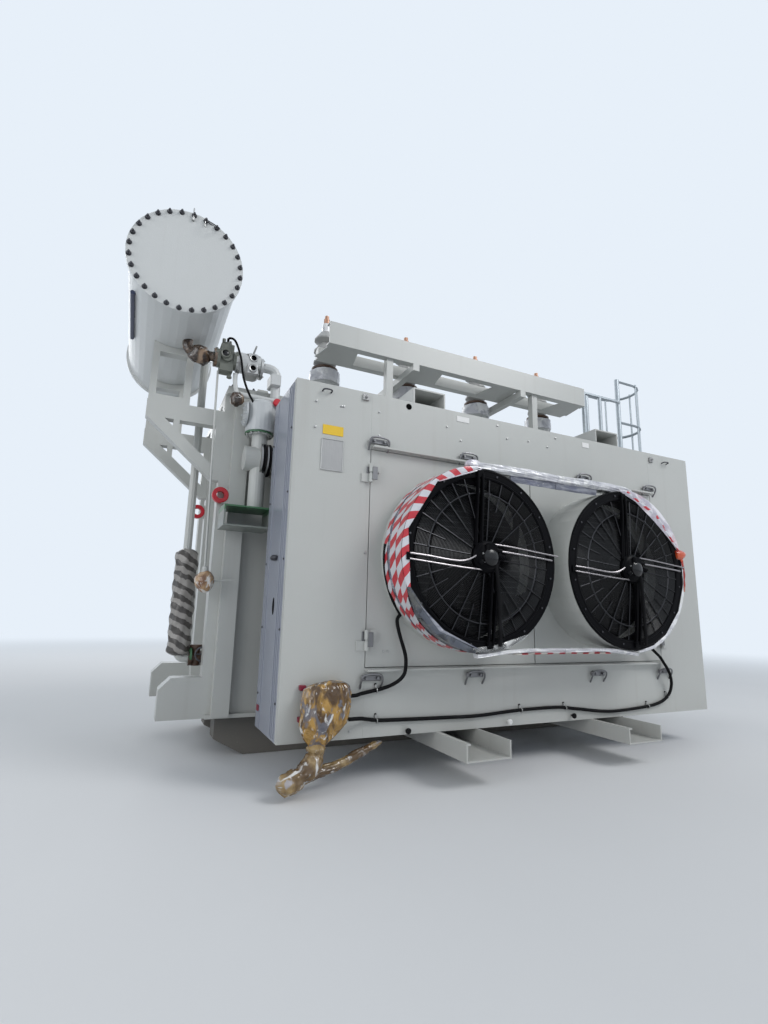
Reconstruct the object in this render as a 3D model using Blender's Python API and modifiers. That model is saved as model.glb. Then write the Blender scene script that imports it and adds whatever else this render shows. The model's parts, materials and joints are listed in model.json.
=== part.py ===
"""Power transformer with an oil cooler carried on one long side.

Metres, +Z up. +X runs along the tank, to the right as seen from the fans, and the fans face -Y.
The origin is on the ground, under the middle of the tank.
"""

import math

import bmesh
import bpy
from mathutils import Vector

# Common sizes
GAP = 0.0003
MERGE = 0.0001
OVERRUN = 0.02
SHEET = 0.004
SMOOTH_ANGLE = math.radians(35)

# Base frame and tank
BASE_HEIGHT = 0.25
SKID_WIDTH = 0.16
SKID_INSET = 0.04
SKID_NOSE = 0.20
BASE_PLATE = 0.03
TANK_LENGTH = 4.02
TANK_DEPTH = 1.20
TANK_HEIGHT = 2.27
TANK_FLANGE = 0.06
TANK_FLANGE_THICKNESS = 0.025
TANK_FOOT_FLANGE = 0.035
STIFFENER_WIDTH = 0.11
STIFFENER_DEPTH = 0.07
END_STIFFENER_WIDTH = 0.12
JACK_REACH = 0.33
JACK_HEIGHT = 0.26
JACK_DEPTH = 0.14
JACK_CHAMFER = 0.07
END_STIFFENER_MIDDLE = 0.12
EYE_HEIGHT = 1.49
EYE_RADIUS = 0.055
EYE_HOLE = 0.028
EYE_THICKNESS = 0.03
COVER_THICKNESS = 0.03
LUG_LENGTH = 0.16
LUG_HEIGHT = 0.14
LUG_THICKNESS = 0.03
LUG_HOLE = 0.035
LUG_INSET = 0.30

# Cooler housing
COOLER_LENGTH = 3.56
COOLER_DEPTH = 0.532
COOLER_HEIGHT = 2.10
COOLER_STANDOFF = 0.318
PANEL_DEPTH = 0.04
SIDE_PANEL_WIDTH = 0.50
BOTTOM_BAND_HEIGHT = 0.385
DOOR_OPENING_HEIGHT = 1.34
DOOR_CLEARANCE = 0.005
DOOR_MEETING_GAP = 0.008
LEDGE_REACH = 0.045
LEDGE_THICKNESS = 0.012
CASING_WALL = 0.006
CASING_LIP = 0.03
CORE_DEPTH = 0.20
CORE_RECESS = 0.02

# Carrying arms
LOWER_ARM_OFFSET = 0.637
LOWER_ARM_WIDTH = 0.31
LOWER_ARM_HEIGHT = 0.101
LOWER_ARM_REACH = 0.33
LOWER_ARM_LIP = 0.03
ARM_WALL = 0.010
UPPER_ARM_OFFSET = 0.84
UPPER_ARM_WIDTH = 0.25
UPPER_ARM_HEIGHT = 0.12
UPPER_ARM_RECESS = 0.02

# Fans
FAN_SIDES = 32
FAN_OFFSET = 0.627
SHROUD_RADIUS = 0.565
SHROUD_WALL = 0.010
SHROUD_LIP = 0.035
SHROUD_REACH = 0.28
GUARD_RADIUS = 0.543
DOOR_HOLE = 0.52
NOZZLE_INNER = 0.495
NOZZLE_WALL = 0.012
NOZZLE_DEPTH = 0.16
NOZZLE_RIM = 0.014
GUARD_WIRE = 0.006
GUARD_SPOKE = 0.009
GUARD_TURN = math.radians(51)
GUARD_RINGS = 2
GUARD_SPOKES = 4
GUARD_SIDES = 24
MOTOR_ARMS = 4
MOTOR_ARM_OFFSET = 0.042
MOTOR_ARM_SPACING = 0.028
MOTOR_RADIUS = 0.085
MOTOR_LENGTH = 0.085
MOTOR_CAP_RADIUS = 0.068
MOTOR_CAP_REACH = 0.05
MOTOR_CAP_ROUND = 0.02
SHAFT_RADIUS = 0.018
SHAFT_CLEARANCE = 0.0006
SHAFT_LENGTH = 0.05
HUB_RADIUS = 0.11
HUB_LENGTH = 0.10
RUNNING_GAP = 0.006
BLADE_COUNT = 5
BLADE_TIP = 0.480
BLADE_THICKNESS = 0.005
BLADE_CHORD_ROOT = 0.16
BLADE_CHORD_TIP = 0.26
BLADE_TEETH = 6
TOOTH_SHARE = 0.12
BLADE_SWEEP = math.radians(38)
BLADE_PITCH_ROOT = math.radians(36)
BLADE_PITCH_TIP = math.radians(20)

# Door hinges
HINGE_STANDOFF = 0.02
HINGE_PIN = 0.008
HINGE_BORE = 0.0088
HINGE_KNUCKLE = 0.014
HINGE_HEIGHT = 0.12
HINGE_LEAF = 0.06
HINGE_LEAF_THICKNESS = 0.005
HINGE_FROM_END = 0.10
HINGE_SIDES = 12

# Terminal box, cables and packing
BOX_LEFT = 0.115
BOX_WIDTH = 0.267
BOX_BOTTOM = 0.02
BOX_HEIGHT = 0.30
BOX_REACH = 0.14
BOX_ROUND = 0.045
CABLE_RADIUS = 0.011
TAPE_THICKNESS = 0.006
TAPE_INSET = 0.02
TAPE_WIDTH = 0.20
TAIL_RADIUS = 0.055
TAIL_RETURN_RADIUS = 0.036

# Conservator
CONSERVATOR_SIDES = 40
CONSERVATOR_RADIUS = 0.332
CONSERVATOR_FLANGE = 0.35
CONSERVATOR_WALL = 0.008
CONSERVATOR_LENGTH = 1.55
CONSERVATOR_OUT = 0.446
CONSERVATOR_LEVEL = 3.111
CONSERVATOR_FRONT = 0.552
CONSERVATOR_FLANGE_THICKNESS = 0.016
CONSERVATOR_COVER_THICKNESS = 0.014
BRACKET_THICKNESS = 0.08
BRACKET_BEAM = 0.12
BRACKET_TOP = 2.37
BRACKET_REACH = 0.585
BRACKET_DROP = 0.52
BRACKET_STRUT = 0.105
BRACKET_FOOT = 0.05
BRACKET_WEB = 0.04
BRACKET_WEB_REACH = 0.384
BRACKET_FRONT = 0.56
SADDLE_WIDTH = 0.27
SADDLE_FRAME = 0.045
SADDLE_STEPS = 6

# Relay pipe, breather, filler pipe
PIPE_BEND_SHARE = 1.5
FLANGE_SHARE = 1.9
FLANGE_THICKNESS = 0.02
RELAY_STANDOFF = 0.13
RELAY_PIPE_RADIUS = 0.035
RELAY_LEVEL = 2.71
OUTLET_OUT = 0.37
OUTLET_VALVE_OUT = 0.29
OUTLET_VALVE_RADIUS = 0.065
RELAY_OUT = 0.17
RELAY_BODY = 0.13
RELAY_HEIGHT = 0.20
RELAY_WINDOW = 0.035
RELAY_WINDOW_PROUD = 0.02
FITTING_LENGTH = 0.15
FITTING_RADIUS = 0.075
RELAY_LANDING = 0.26
RELAY_ENTRY_LEVEL = 2.44
TUBE_RADIUS = 0.012
BREATHER_RADIUS = 0.078
BREATHER_LEVEL = 1.14
BREATHER_OUT = 0.114
FILLER_RADIUS = 0.028
FILLER_INSET = 0.18
FILLER_OUT = 0.219
WRAPPED_RADIUS = 0.065
WRAPPED_LOW = 0.70
WRAPPED_HIGH = 1.28
DRAIN_LEVEL = 0.62
DRAIN_REACH = 0.15
DRAIN_BODY = 0.06
DRAIN_RADIUS = 0.028
DRAIN_FLANGE = 0.05
DRAIN_STEM = 0.07
DRAIN_WHEEL = 0.045

# Oil inlet and return
INLET_INSET = 0.16
INLET_STANDOFF = 0.19
INLET_LEVEL = 2.28
VALVE_RADIUS = 0.105
VALVE_HEIGHT = 0.20
DOME_SHARE = 0.45
INLET_NECK = 0.045
ELBOW_LEVEL = 1.99
ELBOW_RADIUS = 0.085
BELLOWS_RADIUS = 0.115
BELLOWS_LENGTH = 0.13
BELLOWS_WAVES = 4
RETURN_RADIUS = 0.05
RETURN_LEVEL = 0.45
ELBOW_DOME = 0.10
LEG_RADIUS = 0.055
ENTRY_INSET = 0.38

# Bracket between tank and cooler
SIDE_BRACKET_LOW = 1.49
SIDE_BRACKET_HEIGHT = 0.14
SIDE_BRACKET_WIDTH = 0.31
SIDE_BRACKET_OUT = 0.06

# Bushings and gantry
BUSHING_COUNT = 4
BUSHING_PITCH = 0.82
ROW_SHIFT = 0.04
BUSHING_DEPTH = 0.15
BUSHING_TIP = 3.58
TURRET_RADIUS = 0.13
TURRET_HEIGHT = 0.46
INSULATOR_CORE = 0.055
SHED_RADIUS = 0.105
SHED_COUNT = 4
SHED_SHARES = (0.62, 0.74)
TERMINAL_RADIUS = 0.022
TERMINAL_HEIGHT = 0.13
GANTRY_LENGTH = 2.75
GANTRY_LEVEL = 3.07
GANTRY_BEAM_HEIGHT = 0.19
GANTRY_BEAM_WIDTH = 0.07
GANTRY_FRONT = 0.65
GANTRY_REAR = 0.37
GANTRY_WALL = 0.008
CROSS_SPACING = 1.16
FRAME_SPACING = 1.56
FRAME_TUBE = 0.06
FRAME_BACK = 0.30
PLATE_SHARES = (0.8, 0.6)

# Ladder
LADDER_WIDTH = 0.45
LADDER_CENTRE = 0.23
LADDER_STANDOFF = 0.10
LADDER_RAIL = 0.025
LADDER_PITCH = 0.28
RUNG_RADIUS = 0.013
LADDER_FOOT = 0.55
CAGE_RADIUS = 0.225
CAGE_DEPTH = 0.48
CAGE_TOP = 3.62
CAGE_PITCH = 0.49
CAGE_HOOPS = 3
CAGE_BAR = 0.011
CAGE_HOOP = 0.016
CAGE_BARS = 5
CAGE_SPREAD = math.radians(150)
HANDRAIL_HEIGHT = 0.78
HANDRAIL_RADIUS = 0.02
HANDRAIL_LENGTH = 0.41
HANDRAIL_POST_PITCH = 0.24

# Derived places
TANK_FRONT = -TANK_DEPTH / 2
TANK_TOP = BASE_HEIGHT + TANK_HEIGHT
COVER_TOP = TANK_TOP + COVER_THICKNESS + GAP
COOLER_BACK = TANK_FRONT - COOLER_STANDOFF
COOLER_FRONT = COOLER_BACK - COOLER_DEPTH
COOLER_LEFT = -COOLER_LENGTH / 2
COOLER_TOP = BASE_HEIGHT + COOLER_HEIGHT
SEAM = COOLER_LENGTH / 2 - SIDE_PANEL_WIDTH
DOOR_LOW = BASE_HEIGHT + BOTTOM_BAND_HEIGHT
DOOR_HIGH = DOOR_LOW + DOOR_OPENING_HEIGHT
FAN_LEVEL = (DOOR_LOW + DOOR_HIGH) / 2
HINGE_LINE = COOLER_FRONT - HINGE_STANDOFF
CONSERVATOR_X = -TANK_LENGTH / 2 - CONSERVATOR_OUT

COLOURS = {
    "grey_paint": ((0.62, 0.65, 0.63), 0.35, 0.0),
    "base_paint": ((0.10, 0.11, 0.11), 0.60, 0.0),
    "dark_core": ((0.16, 0.17, 0.17), 0.50, 0.6),
    "black_fan": ((0.015, 0.015, 0.017), 0.40, 0.0),
    "black_cable": ((0.02, 0.02, 0.02), 0.55, 0.0),
    "packing_tape": ((0.75, 0.08, 0.07), 0.30, 0.0),
    "packing_film": ((0.72, 0.60, 0.40), 0.25, 0.0),
    "relay_paint": ((0.28, 0.36, 0.29), 0.45, 0.0),
    "cast_white": ((0.72, 0.73, 0.71), 0.35, 0.1),
    "brown_film": ((0.33, 0.20, 0.12), 0.30, 0.0),
    "porcelain": ((0.78, 0.78, 0.76), 0.15, 0.0),
    "galvanised": ((0.55, 0.57, 0.58), 0.45, 0.7),
    "green_paint": ((0.18, 0.30, 0.20), 0.50, 0.0),
}


def clear_scene():
    """Removes every object that the file opened with."""
    for obj in list(bpy.data.objects):
        bpy.data.objects.remove(obj, do_unlink=True)


def new_collection(name, parent=None):
    """Makes a collection under parent, or under the scene."""
    made = bpy.data.collections.new(name)
    (parent or bpy.context.scene.collection).children.link(made)
    return made


def material(slot):
    """The Principled material of one finish, made once."""
    found = bpy.data.materials.get(slot)
    if found:
        return found
    colour, roughness, metallic = COLOURS[slot]
    made = bpy.data.materials.new(slot)
    made.use_nodes = True
    shader = made.node_tree.nodes["Principled BSDF"]
    shader.inputs["Base Color"].default_value = (*colour, 1)
    shader.inputs["Roughness"].default_value = roughness
    shader.inputs["Metallic"].default_value = metallic
    made.diffuse_color = (*colour, 1)
    return made


def settle(obj, name, slot, collection):
    """Names an object, gives it its finish and puts it in one collection."""
    obj.name = name
    obj.data.name = name
    obj.data.materials.clear()
    obj.data.materials.append(material(slot))
    for old in list(obj.users_collection):
        old.objects.unlink(obj)
    collection.objects.link(obj)
    return obj


def box(name, low, high, slot="grey_paint"):
    """A box between two corners."""
    low, high = Vector(low), Vector(high)
    bpy.ops.mesh.primitive_cube_add(size=1, location=(low + high) / 2)
    obj = bpy.context.object
    obj.scale = high - low
    bpy.ops.object.transform_apply(location=False, rotation=False, scale=True)
    return settle(obj, name, slot, PARTS)


def rod(name, start, end, radius, slot="grey_paint", sides=16):
    """A round bar from start to end."""
    start, end = Vector(start), Vector(end)
    along = end - start
    bpy.ops.mesh.primitive_cylinder_add(
        vertices=sides, radius=radius, depth=along.length, location=(start + end) / 2
    )
    obj = bpy.context.object
    obj.rotation_euler = along.to_track_quat("Z", "Y").to_euler()
    smooth(obj)
    return settle(obj, name, slot, PARTS)


def smooth(obj):
    """Smooth shading with sharp edges kept."""
    obj.data.shade_smooth()
    obj.data.set_sharp_from_angle(angle=SMOOTH_ANGLE)


FACINGS = {
    "front": (math.pi / 2, 0, 0),
    "side": (math.pi / 2, 0, math.pi / 2),
    "top": (0, 0, 0),
}


def plate(name, outline, thickness, centre, facing, slot="grey_paint", holes=()):
    """A flat outline, extruded by its thickness, as a mesh. Holes are more outlines inside it."""
    curve = bpy.data.curves.new(name, "CURVE")
    curve.dimensions = "2D"
    curve.fill_mode = "BOTH"
    curve.extrude = thickness / 2
    for loop in (outline, *holes):
        spline = curve.splines.new("POLY")
        spline.points.add(len(loop) - 1)
        for point, (u, v) in zip(spline.points, loop):
            point.co = (u, v, 0, 1)
        spline.use_cyclic_u = True
    flat = bpy.data.objects.new(name, curve)
    PARTS.objects.link(flat)
    flat.location = centre
    flat.rotation_euler = FACINGS[facing]
    return as_mesh(flat, slot)


def as_mesh(curve_object, slot):
    """Turns a curve object into a closed mesh object in the same place."""
    bpy.context.view_layer.update()
    graph = bpy.context.evaluated_depsgraph_get()
    mesh = bpy.data.meshes.new_from_object(curve_object.evaluated_get(graph))
    work = bmesh.new()
    work.from_mesh(mesh)
    bmesh.ops.remove_doubles(work, verts=work.verts, dist=MERGE)
    bmesh.ops.recalc_face_normals(work, faces=work.faces)
    work.to_mesh(mesh)
    work.free()
    name = curve_object.name
    obj = bpy.data.objects.new(name, mesh)
    obj.matrix_world = curve_object.matrix_world
    PARTS.objects.link(obj)
    bpy.data.objects.remove(curve_object, do_unlink=True)
    return settle(obj, name, slot, PARTS)


def circle(radius, centre=(0, 0), sides=24, start=0.0, sweep=2 * math.pi):
    """Points round a circle or an arc. A full turn leaves out the repeated last point."""
    full = abs(sweep - 2 * math.pi) < MERGE
    count = sides if full else sides + 1
    return [
        (
            centre[0] + radius * math.cos(start + sweep * i / sides),
            centre[1] + radius * math.sin(start + sweep * i / sides),
        )
        for i in range(count)
    ]


def rectangle(low, high):
    """The four corners of an upright rectangle."""
    return [(low[0], low[1]), (high[0], low[1]), (high[0], high[1]), (low[0], high[1])]


AXES = {"up": (0, 0, 0), "out": (math.pi / 2, 0, 0), "right": (0, math.pi / 2, 0)}


def turned(name, profile, place, axis="up", slot="grey_paint", sides=32, closed=True):
    """A profile of (radius, height) points, turned round an axis. It runs down its outer side."""
    mesh = bpy.data.meshes.new(name)
    verts = [(r, 0, h) for r, h in profile]
    edges = [(i, i + 1) for i in range(len(verts) - 1)]
    if closed:
        edges.append((len(verts) - 1, 0))
    mesh.from_pydata(verts, edges, [])
    obj = bpy.data.objects.new(name, mesh)
    PARTS.objects.link(obj)
    obj.location = place
    obj.rotation_euler = AXES[axis]
    screw = obj.modifiers.new("Turn", "SCREW")
    screw.steps = sides
    screw.render_steps = sides
    screw.use_merge_vertices = True
    screw.merge_threshold = MERGE
    screw.use_smooth_shade = False
    return settle(obj, name, slot, PARTS)


def rounded_path(corners, bend, steps=4):
    """A path through corners, each rounded by an arc of the bend radius."""
    points = [Vector(corners[0])]
    for before, corner, after in zip(corners, corners[1:], corners[2:]):
        before, corner, after = Vector(before), Vector(corner), Vector(after)
        into, out = (corner - before).normalized(), (after - corner).normalized()
        turn = into.angle(out)
        if turn < MERGE:
            continue
        reach = bend * math.tan(turn / 2)
        centre = corner - into * reach + (out - into * into.dot(out)).normalized() * bend
        start, end = corner - into * reach - centre, corner + out * reach - centre
        for i in range(steps + 1):
            points.append(centre + bend * start.slerp(end, i / steps))
    points.append(Vector(corners[-1]))
    return points


def smooth_path(route, count):
    """Points read evenly from a smooth curve through the route's own points."""
    route = [Vector(p) for p in route]
    ends = [route[0] * 2 - route[1], *route, route[-1] * 2 - route[-2]]
    dense = []
    for a, b, c, d in zip(ends, ends[1:], ends[2:], ends[3:]):
        for i in range(count):
            t = i / count
            dense.append(
                (2 * b + (c - a) * t + (2 * a - 5 * b + 4 * c - d) * t**2 + (3 * b - a - 3 * c + d) * t**3)
                / 2
            )
    dense.append(route[-1])
    run = [0.0]
    for p, q in zip(dense, dense[1:]):
        run.append(run[-1] + (q - p).length)
    points, k = [], 0
    for i in range(count + 1):
        wanted = run[-1] * i / count
        while k < len(run) - 2 and run[k + 1] < wanted:
            k += 1
        share = (wanted - run[k]) / max(run[k + 1] - run[k], MERGE)
        points.append(dense[k].lerp(dense[k + 1], min(share, 1)))
    return points


def pipe(name, points, radius, slot="grey_paint", resolution=3):
    """A round tube along points, with closed ends."""
    curve = bpy.data.curves.new(name, "CURVE")
    curve.dimensions = "3D"
    curve.bevel_depth = radius
    curve.bevel_resolution = resolution
    curve.use_fill_caps = True
    spline = curve.splines.new("POLY")
    spline.points.add(len(points) - 1)
    origin = Vector(points[0])
    for point, place in zip(spline.points, points):
        point.co = (*(Vector(place) - origin), 1)
    obj = bpy.data.objects.new(name, curve)
    PARTS.objects.link(obj)
    obj.location = origin
    return settle(obj, name, slot, PARTS)


def pipe_mesh(name, points, radius, slot="grey_paint", resolution=3):
    """A round tube as a mesh, for welding to other shapes."""
    bpy.context.view_layer.update()
    return as_mesh(pipe(name, points, radius, slot, resolution), slot)


def combine(target, pieces, operation):
    """Joins pieces to the target or cuts them from it. They move to the guides."""
    guides = new_collection(f"{target.name}_{operation.lower()}_{len(target.modifiers)}", GUIDES)
    for piece in pieces:
        for old in list(piece.users_collection):
            old.objects.unlink(piece)
        guides.objects.link(piece)
        piece.hide_render = True
        piece.display_type = "WIRE"
    made = target.modifiers.new(operation.title(), "BOOLEAN")
    made.operation = operation
    made.operand_type = "COLLECTION"
    made.collection = guides
    made.solver = "EXACT"
    return target


def weld(target, *pieces):
    """The target with pieces joined to it."""
    return combine(target, pieces, "UNION")


def cut(target, *pieces):
    """The target with pieces taken out of it."""
    return combine(target, pieces, "DIFFERENCE")


def mirrored(side):
    """The name of a side from its sign."""
    return "left" if side < 0 else "right"


def hang_on(parent, *children):
    """Parents children to an empty and keeps them where they are."""
    bpy.context.view_layer.update()
    for child in children:
        child.parent = parent
        child.matrix_parent_inverse = parent.matrix_world.inverted()


def empty(name, place):
    """An empty that marks a joint."""
    obj = bpy.data.objects.new(name, None)
    obj.location = place
    PARTS.objects.link(obj)
    return obj


def base_frame():
    """Three sled-ended skids under one plate."""
    half = TANK_LENGTH / 2 - SKID_INSET
    top = BASE_HEIGHT - GAP
    seat = top - BASE_PLATE
    frame = box(
        "base_frame",
        (-half, TANK_FRONT + SKID_INSET, seat),
        (half, -TANK_FRONT - SKID_INSET, top),
        "base_paint",
    )
    outline = [
        (-half + SKID_NOSE, 0),
        (half - SKID_NOSE, 0),
        (half, seat / 2),
        (half, seat + BASE_PLATE / 2),
        (-half, seat + BASE_PLATE / 2),
        (-half, seat / 2),
    ]
    reach = -TANK_FRONT - SKID_INSET - SKID_WIDTH / 2
    skids = [
        plate(f"skid_{i}", outline, SKID_WIDTH, (0, reach * i, 0), "front", "base_paint")
        for i in (-1, 0, 1)
    ]
    return weld(frame, *skids)


def stiffeners():
    """Upright box stiffeners on the long walls and the end walls."""
    low = BASE_HEIGHT + TANK_FLANGE_THICKNESS / 2
    high = TANK_TOP - TANK_FLANGE_THICKNESS / 2
    made = []
    half = TANK_LENGTH / 2
    for side in (-1, 1):
        wall = side * TANK_DEPTH / 2
        corner = half - STIFFENER_WIDTH / 2
        for place in (-corner, -corner / 3, corner / 3, corner):
            made.append(
                box(
                    "stiffener",
                    (place - STIFFENER_WIDTH / 2, min(wall - SHEET, wall + side * STIFFENER_DEPTH), low),
                    (place + STIFFENER_WIDTH / 2, max(wall + SHEET, wall + side * STIFFENER_DEPTH), high),
                )
            )
        end = side * half
        corner = TANK_DEPTH / 2 - END_STIFFENER_WIDTH / 2
        for place in (-corner, END_STIFFENER_MIDDLE, corner):
            made.append(
                box(
                    "end_stiffener",
                    (min(end - SHEET, end + side * STIFFENER_DEPTH), place - END_STIFFENER_WIDTH / 2, low),
                    (max(end + SHEET, end + side * STIFFENER_DEPTH), place + END_STIFFENER_WIDTH / 2, high),
                )
            )
    return made


def jacking_brackets():
    """Four box brackets at the foot of the end walls, with a chamfered outer corner."""
    made = []
    for side in (-1, 1):
        outline = [
            (-side * SHEET, 0),
            (side * JACK_REACH, 0),
            (side * JACK_REACH, JACK_HEIGHT - JACK_CHAMFER),
            (side * (JACK_REACH - JACK_CHAMFER), JACK_HEIGHT),
            (-side * SHEET, JACK_HEIGHT),
        ]
        for row in (-1, 1):
            centre = (
                side * TANK_LENGTH / 2,
                row * (TANK_DEPTH / 2 - JACK_DEPTH / 2),
                BASE_HEIGHT,
            )
            made.append(plate("jacking_bracket", outline, JACK_DEPTH, centre, "front"))
    return made


def hauling_eyes():
    """Thick eye plates: one beside each front corner, one on the middle stiffener of each end."""
    made = []
    for side in (-1, 1):
        centre = side * EYE_RADIUS
        arc = circle(EYE_RADIUS, (centre, 0), 10, -math.pi / 2, side * math.pi)
        outline = [(-side * SHEET, -EYE_RADIUS), *arc, (-side * SHEET, EYE_RADIUS)]
        hole = circle(EYE_HOLE, (centre, 0), 12)
        half = TANK_LENGTH / 2
        front = TANK_FRONT - STIFFENER_DEPTH / 2
        for x, y in ((half, front), (half + STIFFENER_DEPTH, END_STIFFENER_MIDDLE)):
            place = (side * x, y, BASE_HEIGHT + EYE_HEIGHT)
            made.append(plate("hauling_eye", outline, EYE_THICKNESS, place, "front", holes=(hole,)))
    return made


def tank():
    """The welded tank, with its rim and foot flanges, stiffeners, brackets and eyes."""
    half = TANK_LENGTH / 2
    body = box("tank", (-half, TANK_FRONT, BASE_HEIGHT), (half, -TANK_FRONT, TANK_TOP))
    rim = box(
        "rim_flange",
        (-half - TANK_FLANGE, TANK_FRONT - TANK_FLANGE, TANK_TOP - TANK_FLANGE_THICKNESS),
        (half + TANK_FLANGE, -TANK_FRONT + TANK_FLANGE, TANK_TOP),
    )
    foot = box(
        "foot_flange",
        (-half - TANK_FOOT_FLANGE, TANK_FRONT - TANK_FOOT_FLANGE, BASE_HEIGHT),
        (half + TANK_FOOT_FLANGE, -TANK_FRONT + TANK_FOOT_FLANGE, BASE_HEIGHT + TANK_FLANGE_THICKNESS),
    )
    return weld(body, rim, foot, *stiffeners(), *jacking_brackets(), *hauling_eyes())


def tank_cover():
    """The bolted cover with four lifting lugs."""
    half = TANK_LENGTH / 2 + TANK_FLANGE
    edge = TANK_DEPTH / 2 + TANK_FLANGE
    cover = box("tank_cover", (-half, -edge, TANK_TOP + GAP), (half, edge, COVER_TOP))
    outline = [
        (-LUG_LENGTH / 2, -COVER_THICKNESS / 2),
        (LUG_LENGTH / 2, -COVER_THICKNESS / 2),
        (LUG_LENGTH / 4, LUG_HEIGHT),
        (-LUG_LENGTH / 4, LUG_HEIGHT),
    ]
    hole = circle(LUG_HOLE, (0, LUG_HEIGHT - 2 * LUG_HOLE), 12)
    lugs = [
        plate(
            "lifting_lug",
            outline,
            LUG_THICKNESS,
            (side * (half - LUG_INSET), row * (edge - LUG_INSET), COVER_TOP),
            "front",
            holes=(hole,),
        )
        for side in (-1, 1)
        for row in (-1, 1)
    ]
    return weld(cover, *lugs)


def tray(name, low, high, slot="grey_paint"):
    """A folded sheet panel: a front skin with returns on its four edges, open at the back."""
    pan = box(name, low, high, slot)
    inner = box(
        "tray_inside",
        (low[0] + SHEET, low[1] + SHEET, low[2] + SHEET),
        (high[0] - SHEET, high[1] + OVERRUN, high[2] - SHEET),
    )
    return cut(pan, inner)


def ledge(z):
    """The folded ledge that runs over or under both doors."""
    return box(
        "ledge",
        (-SEAM + DOOR_CLEARANCE, COOLER_FRONT - LEDGE_REACH, z),
        (SEAM - DOOR_CLEARANCE, COOLER_FRONT + SHEET, z + LEDGE_THICKNESS),
    )


def hinge_levels():
    """The heights of the middle of the two hinges of a door."""
    low = DOOR_LOW + HINGE_FROM_END + HINGE_HEIGHT / 2
    high = DOOR_HIGH - HINGE_FROM_END - HINGE_HEIGHT / 2
    return low, high


def fixed_hinges(side):
    """The lower knuckle, the leaf and the pin of each hinge, welded to the side panel."""
    made = []
    seam = side * SEAM
    for level in hinge_levels():
        low, high = level - HINGE_HEIGHT / 2, level + HINGE_HEIGHT / 2
        made.append(
            rod("knuckle", (seam, HINGE_LINE, low), (seam, HINGE_LINE, level - DOOR_CLEARANCE),
                HINGE_KNUCKLE, sides=HINGE_SIDES)
        )
        made.append(
            rod(
                "pin",
                (seam, HINGE_LINE, low + OVERRUN),
                (seam, HINGE_LINE, high),
                HINGE_PIN,
                sides=HINGE_SIDES,
            )
        )
        made.append(
            box(
                "leaf",
                (min(seam, seam + side * HINGE_LEAF), COOLER_FRONT - HINGE_STANDOFF / 2, low),
                (max(seam, seam + side * HINGE_LEAF), COOLER_FRONT + SHEET / 2, level - DOOR_CLEARANCE),
            )
        )
    return made


def side_panel(side):
    """The fixed panel beside a door, with the fixed half of the hinges."""
    inner, outer = side * (SEAM + GAP), side * COOLER_LENGTH / 2
    panel = tray(
        f"cooler_{mirrored(side)}_panel",
        (min(inner, outer), COOLER_FRONT, BASE_HEIGHT),
        (max(inner, outer), COOLER_FRONT + PANEL_DEPTH, COOLER_TOP),
    )
    return weld(panel, *fixed_hinges(side))


def band(name, low, high, shelf):
    """A fixed band over or under the doors, with its ledge."""
    made = tray(
        name,
        (-SEAM + GAP, COOLER_FRONT, low),
        (SEAM - GAP, COOLER_FRONT + PANEL_DEPTH, high),
    )
    return weld(made, ledge(shelf))


def casing():
    """The sides, roof and floor round the core, open at the back."""
    half = COOLER_LENGTH / 2
    front = COOLER_FRONT + PANEL_DEPTH + GAP
    shell = box("cooler_casing", (-half, front, BASE_HEIGHT), (half, COOLER_BACK, COOLER_TOP))
    hollow = box(
        "casing_hollow",
        (-half + CASING_WALL, front + CASING_WALL, BASE_HEIGHT + CASING_WALL),
        (half - CASING_WALL, COOLER_BACK + OVERRUN, COOLER_TOP - CASING_WALL),
    )
    mouth = box(
        "casing_mouth",
        (-half + CASING_LIP, front - OVERRUN, BASE_HEIGHT + CASING_LIP),
        (half - CASING_LIP, front + OVERRUN, COOLER_TOP - CASING_LIP),
    )
    return cut(shell, hollow, mouth)


def core():
    """The finned block at the back of the casing."""
    half = COOLER_LENGTH / 2 - CASING_WALL - GAP
    back = COOLER_BACK - CORE_RECESS
    return box(
        "cooler_core",
        (-half, back - CORE_DEPTH, BASE_HEIGHT + CASING_WALL + GAP),
        (half, back, COOLER_TOP - CASING_WALL - GAP),
        "dark_core",
    )


def lower_arm(side):
    """A folded trough that carries the cooler, open side up."""
    half, wall = LOWER_ARM_WIDTH / 2, ARM_WALL
    top = BASE_HEIGHT - GAP
    low = top - LOWER_ARM_HEIGHT
    outline = [
        (-half, low),
        (half, low),
        (half, top),
        (half - wall, top),
        (half - wall, low + wall),
        (-half + wall, low + wall),
        (-half + wall, top - wall),
        (-half + LOWER_ARM_LIP, top - wall),
        (-half + LOWER_ARM_LIP, top),
        (-half, top),
    ]
    front = COOLER_FRONT - LOWER_ARM_REACH
    back = TANK_FRONT + SKID_INSET - GAP
    centre = (side * LOWER_ARM_OFFSET, (front + back) / 2, 0)
    return plate(f"lower_arm_{mirrored(side)}", outline, back - front, centre, "front")


def upper_arm(side):
    """An open-ended box channel on the cooler's roof, bolted to the tank."""
    half, wall = UPPER_ARM_WIDTH / 2, ARM_WALL
    low = COOLER_TOP + GAP
    high = low + UPPER_ARM_HEIGHT
    front = COOLER_FRONT + UPPER_ARM_RECESS
    back = TANK_FRONT - GAP
    centre = (side * UPPER_ARM_OFFSET, (front + back) / 2, 0)
    outline = rectangle((-half, low), (half, high))
    hole = rectangle((-half + wall, low + wall), (half - wall, high - wall))
    return plate(f"upper_arm_{mirrored(side)}", outline, back - front, centre, "front", holes=(hole,))


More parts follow.
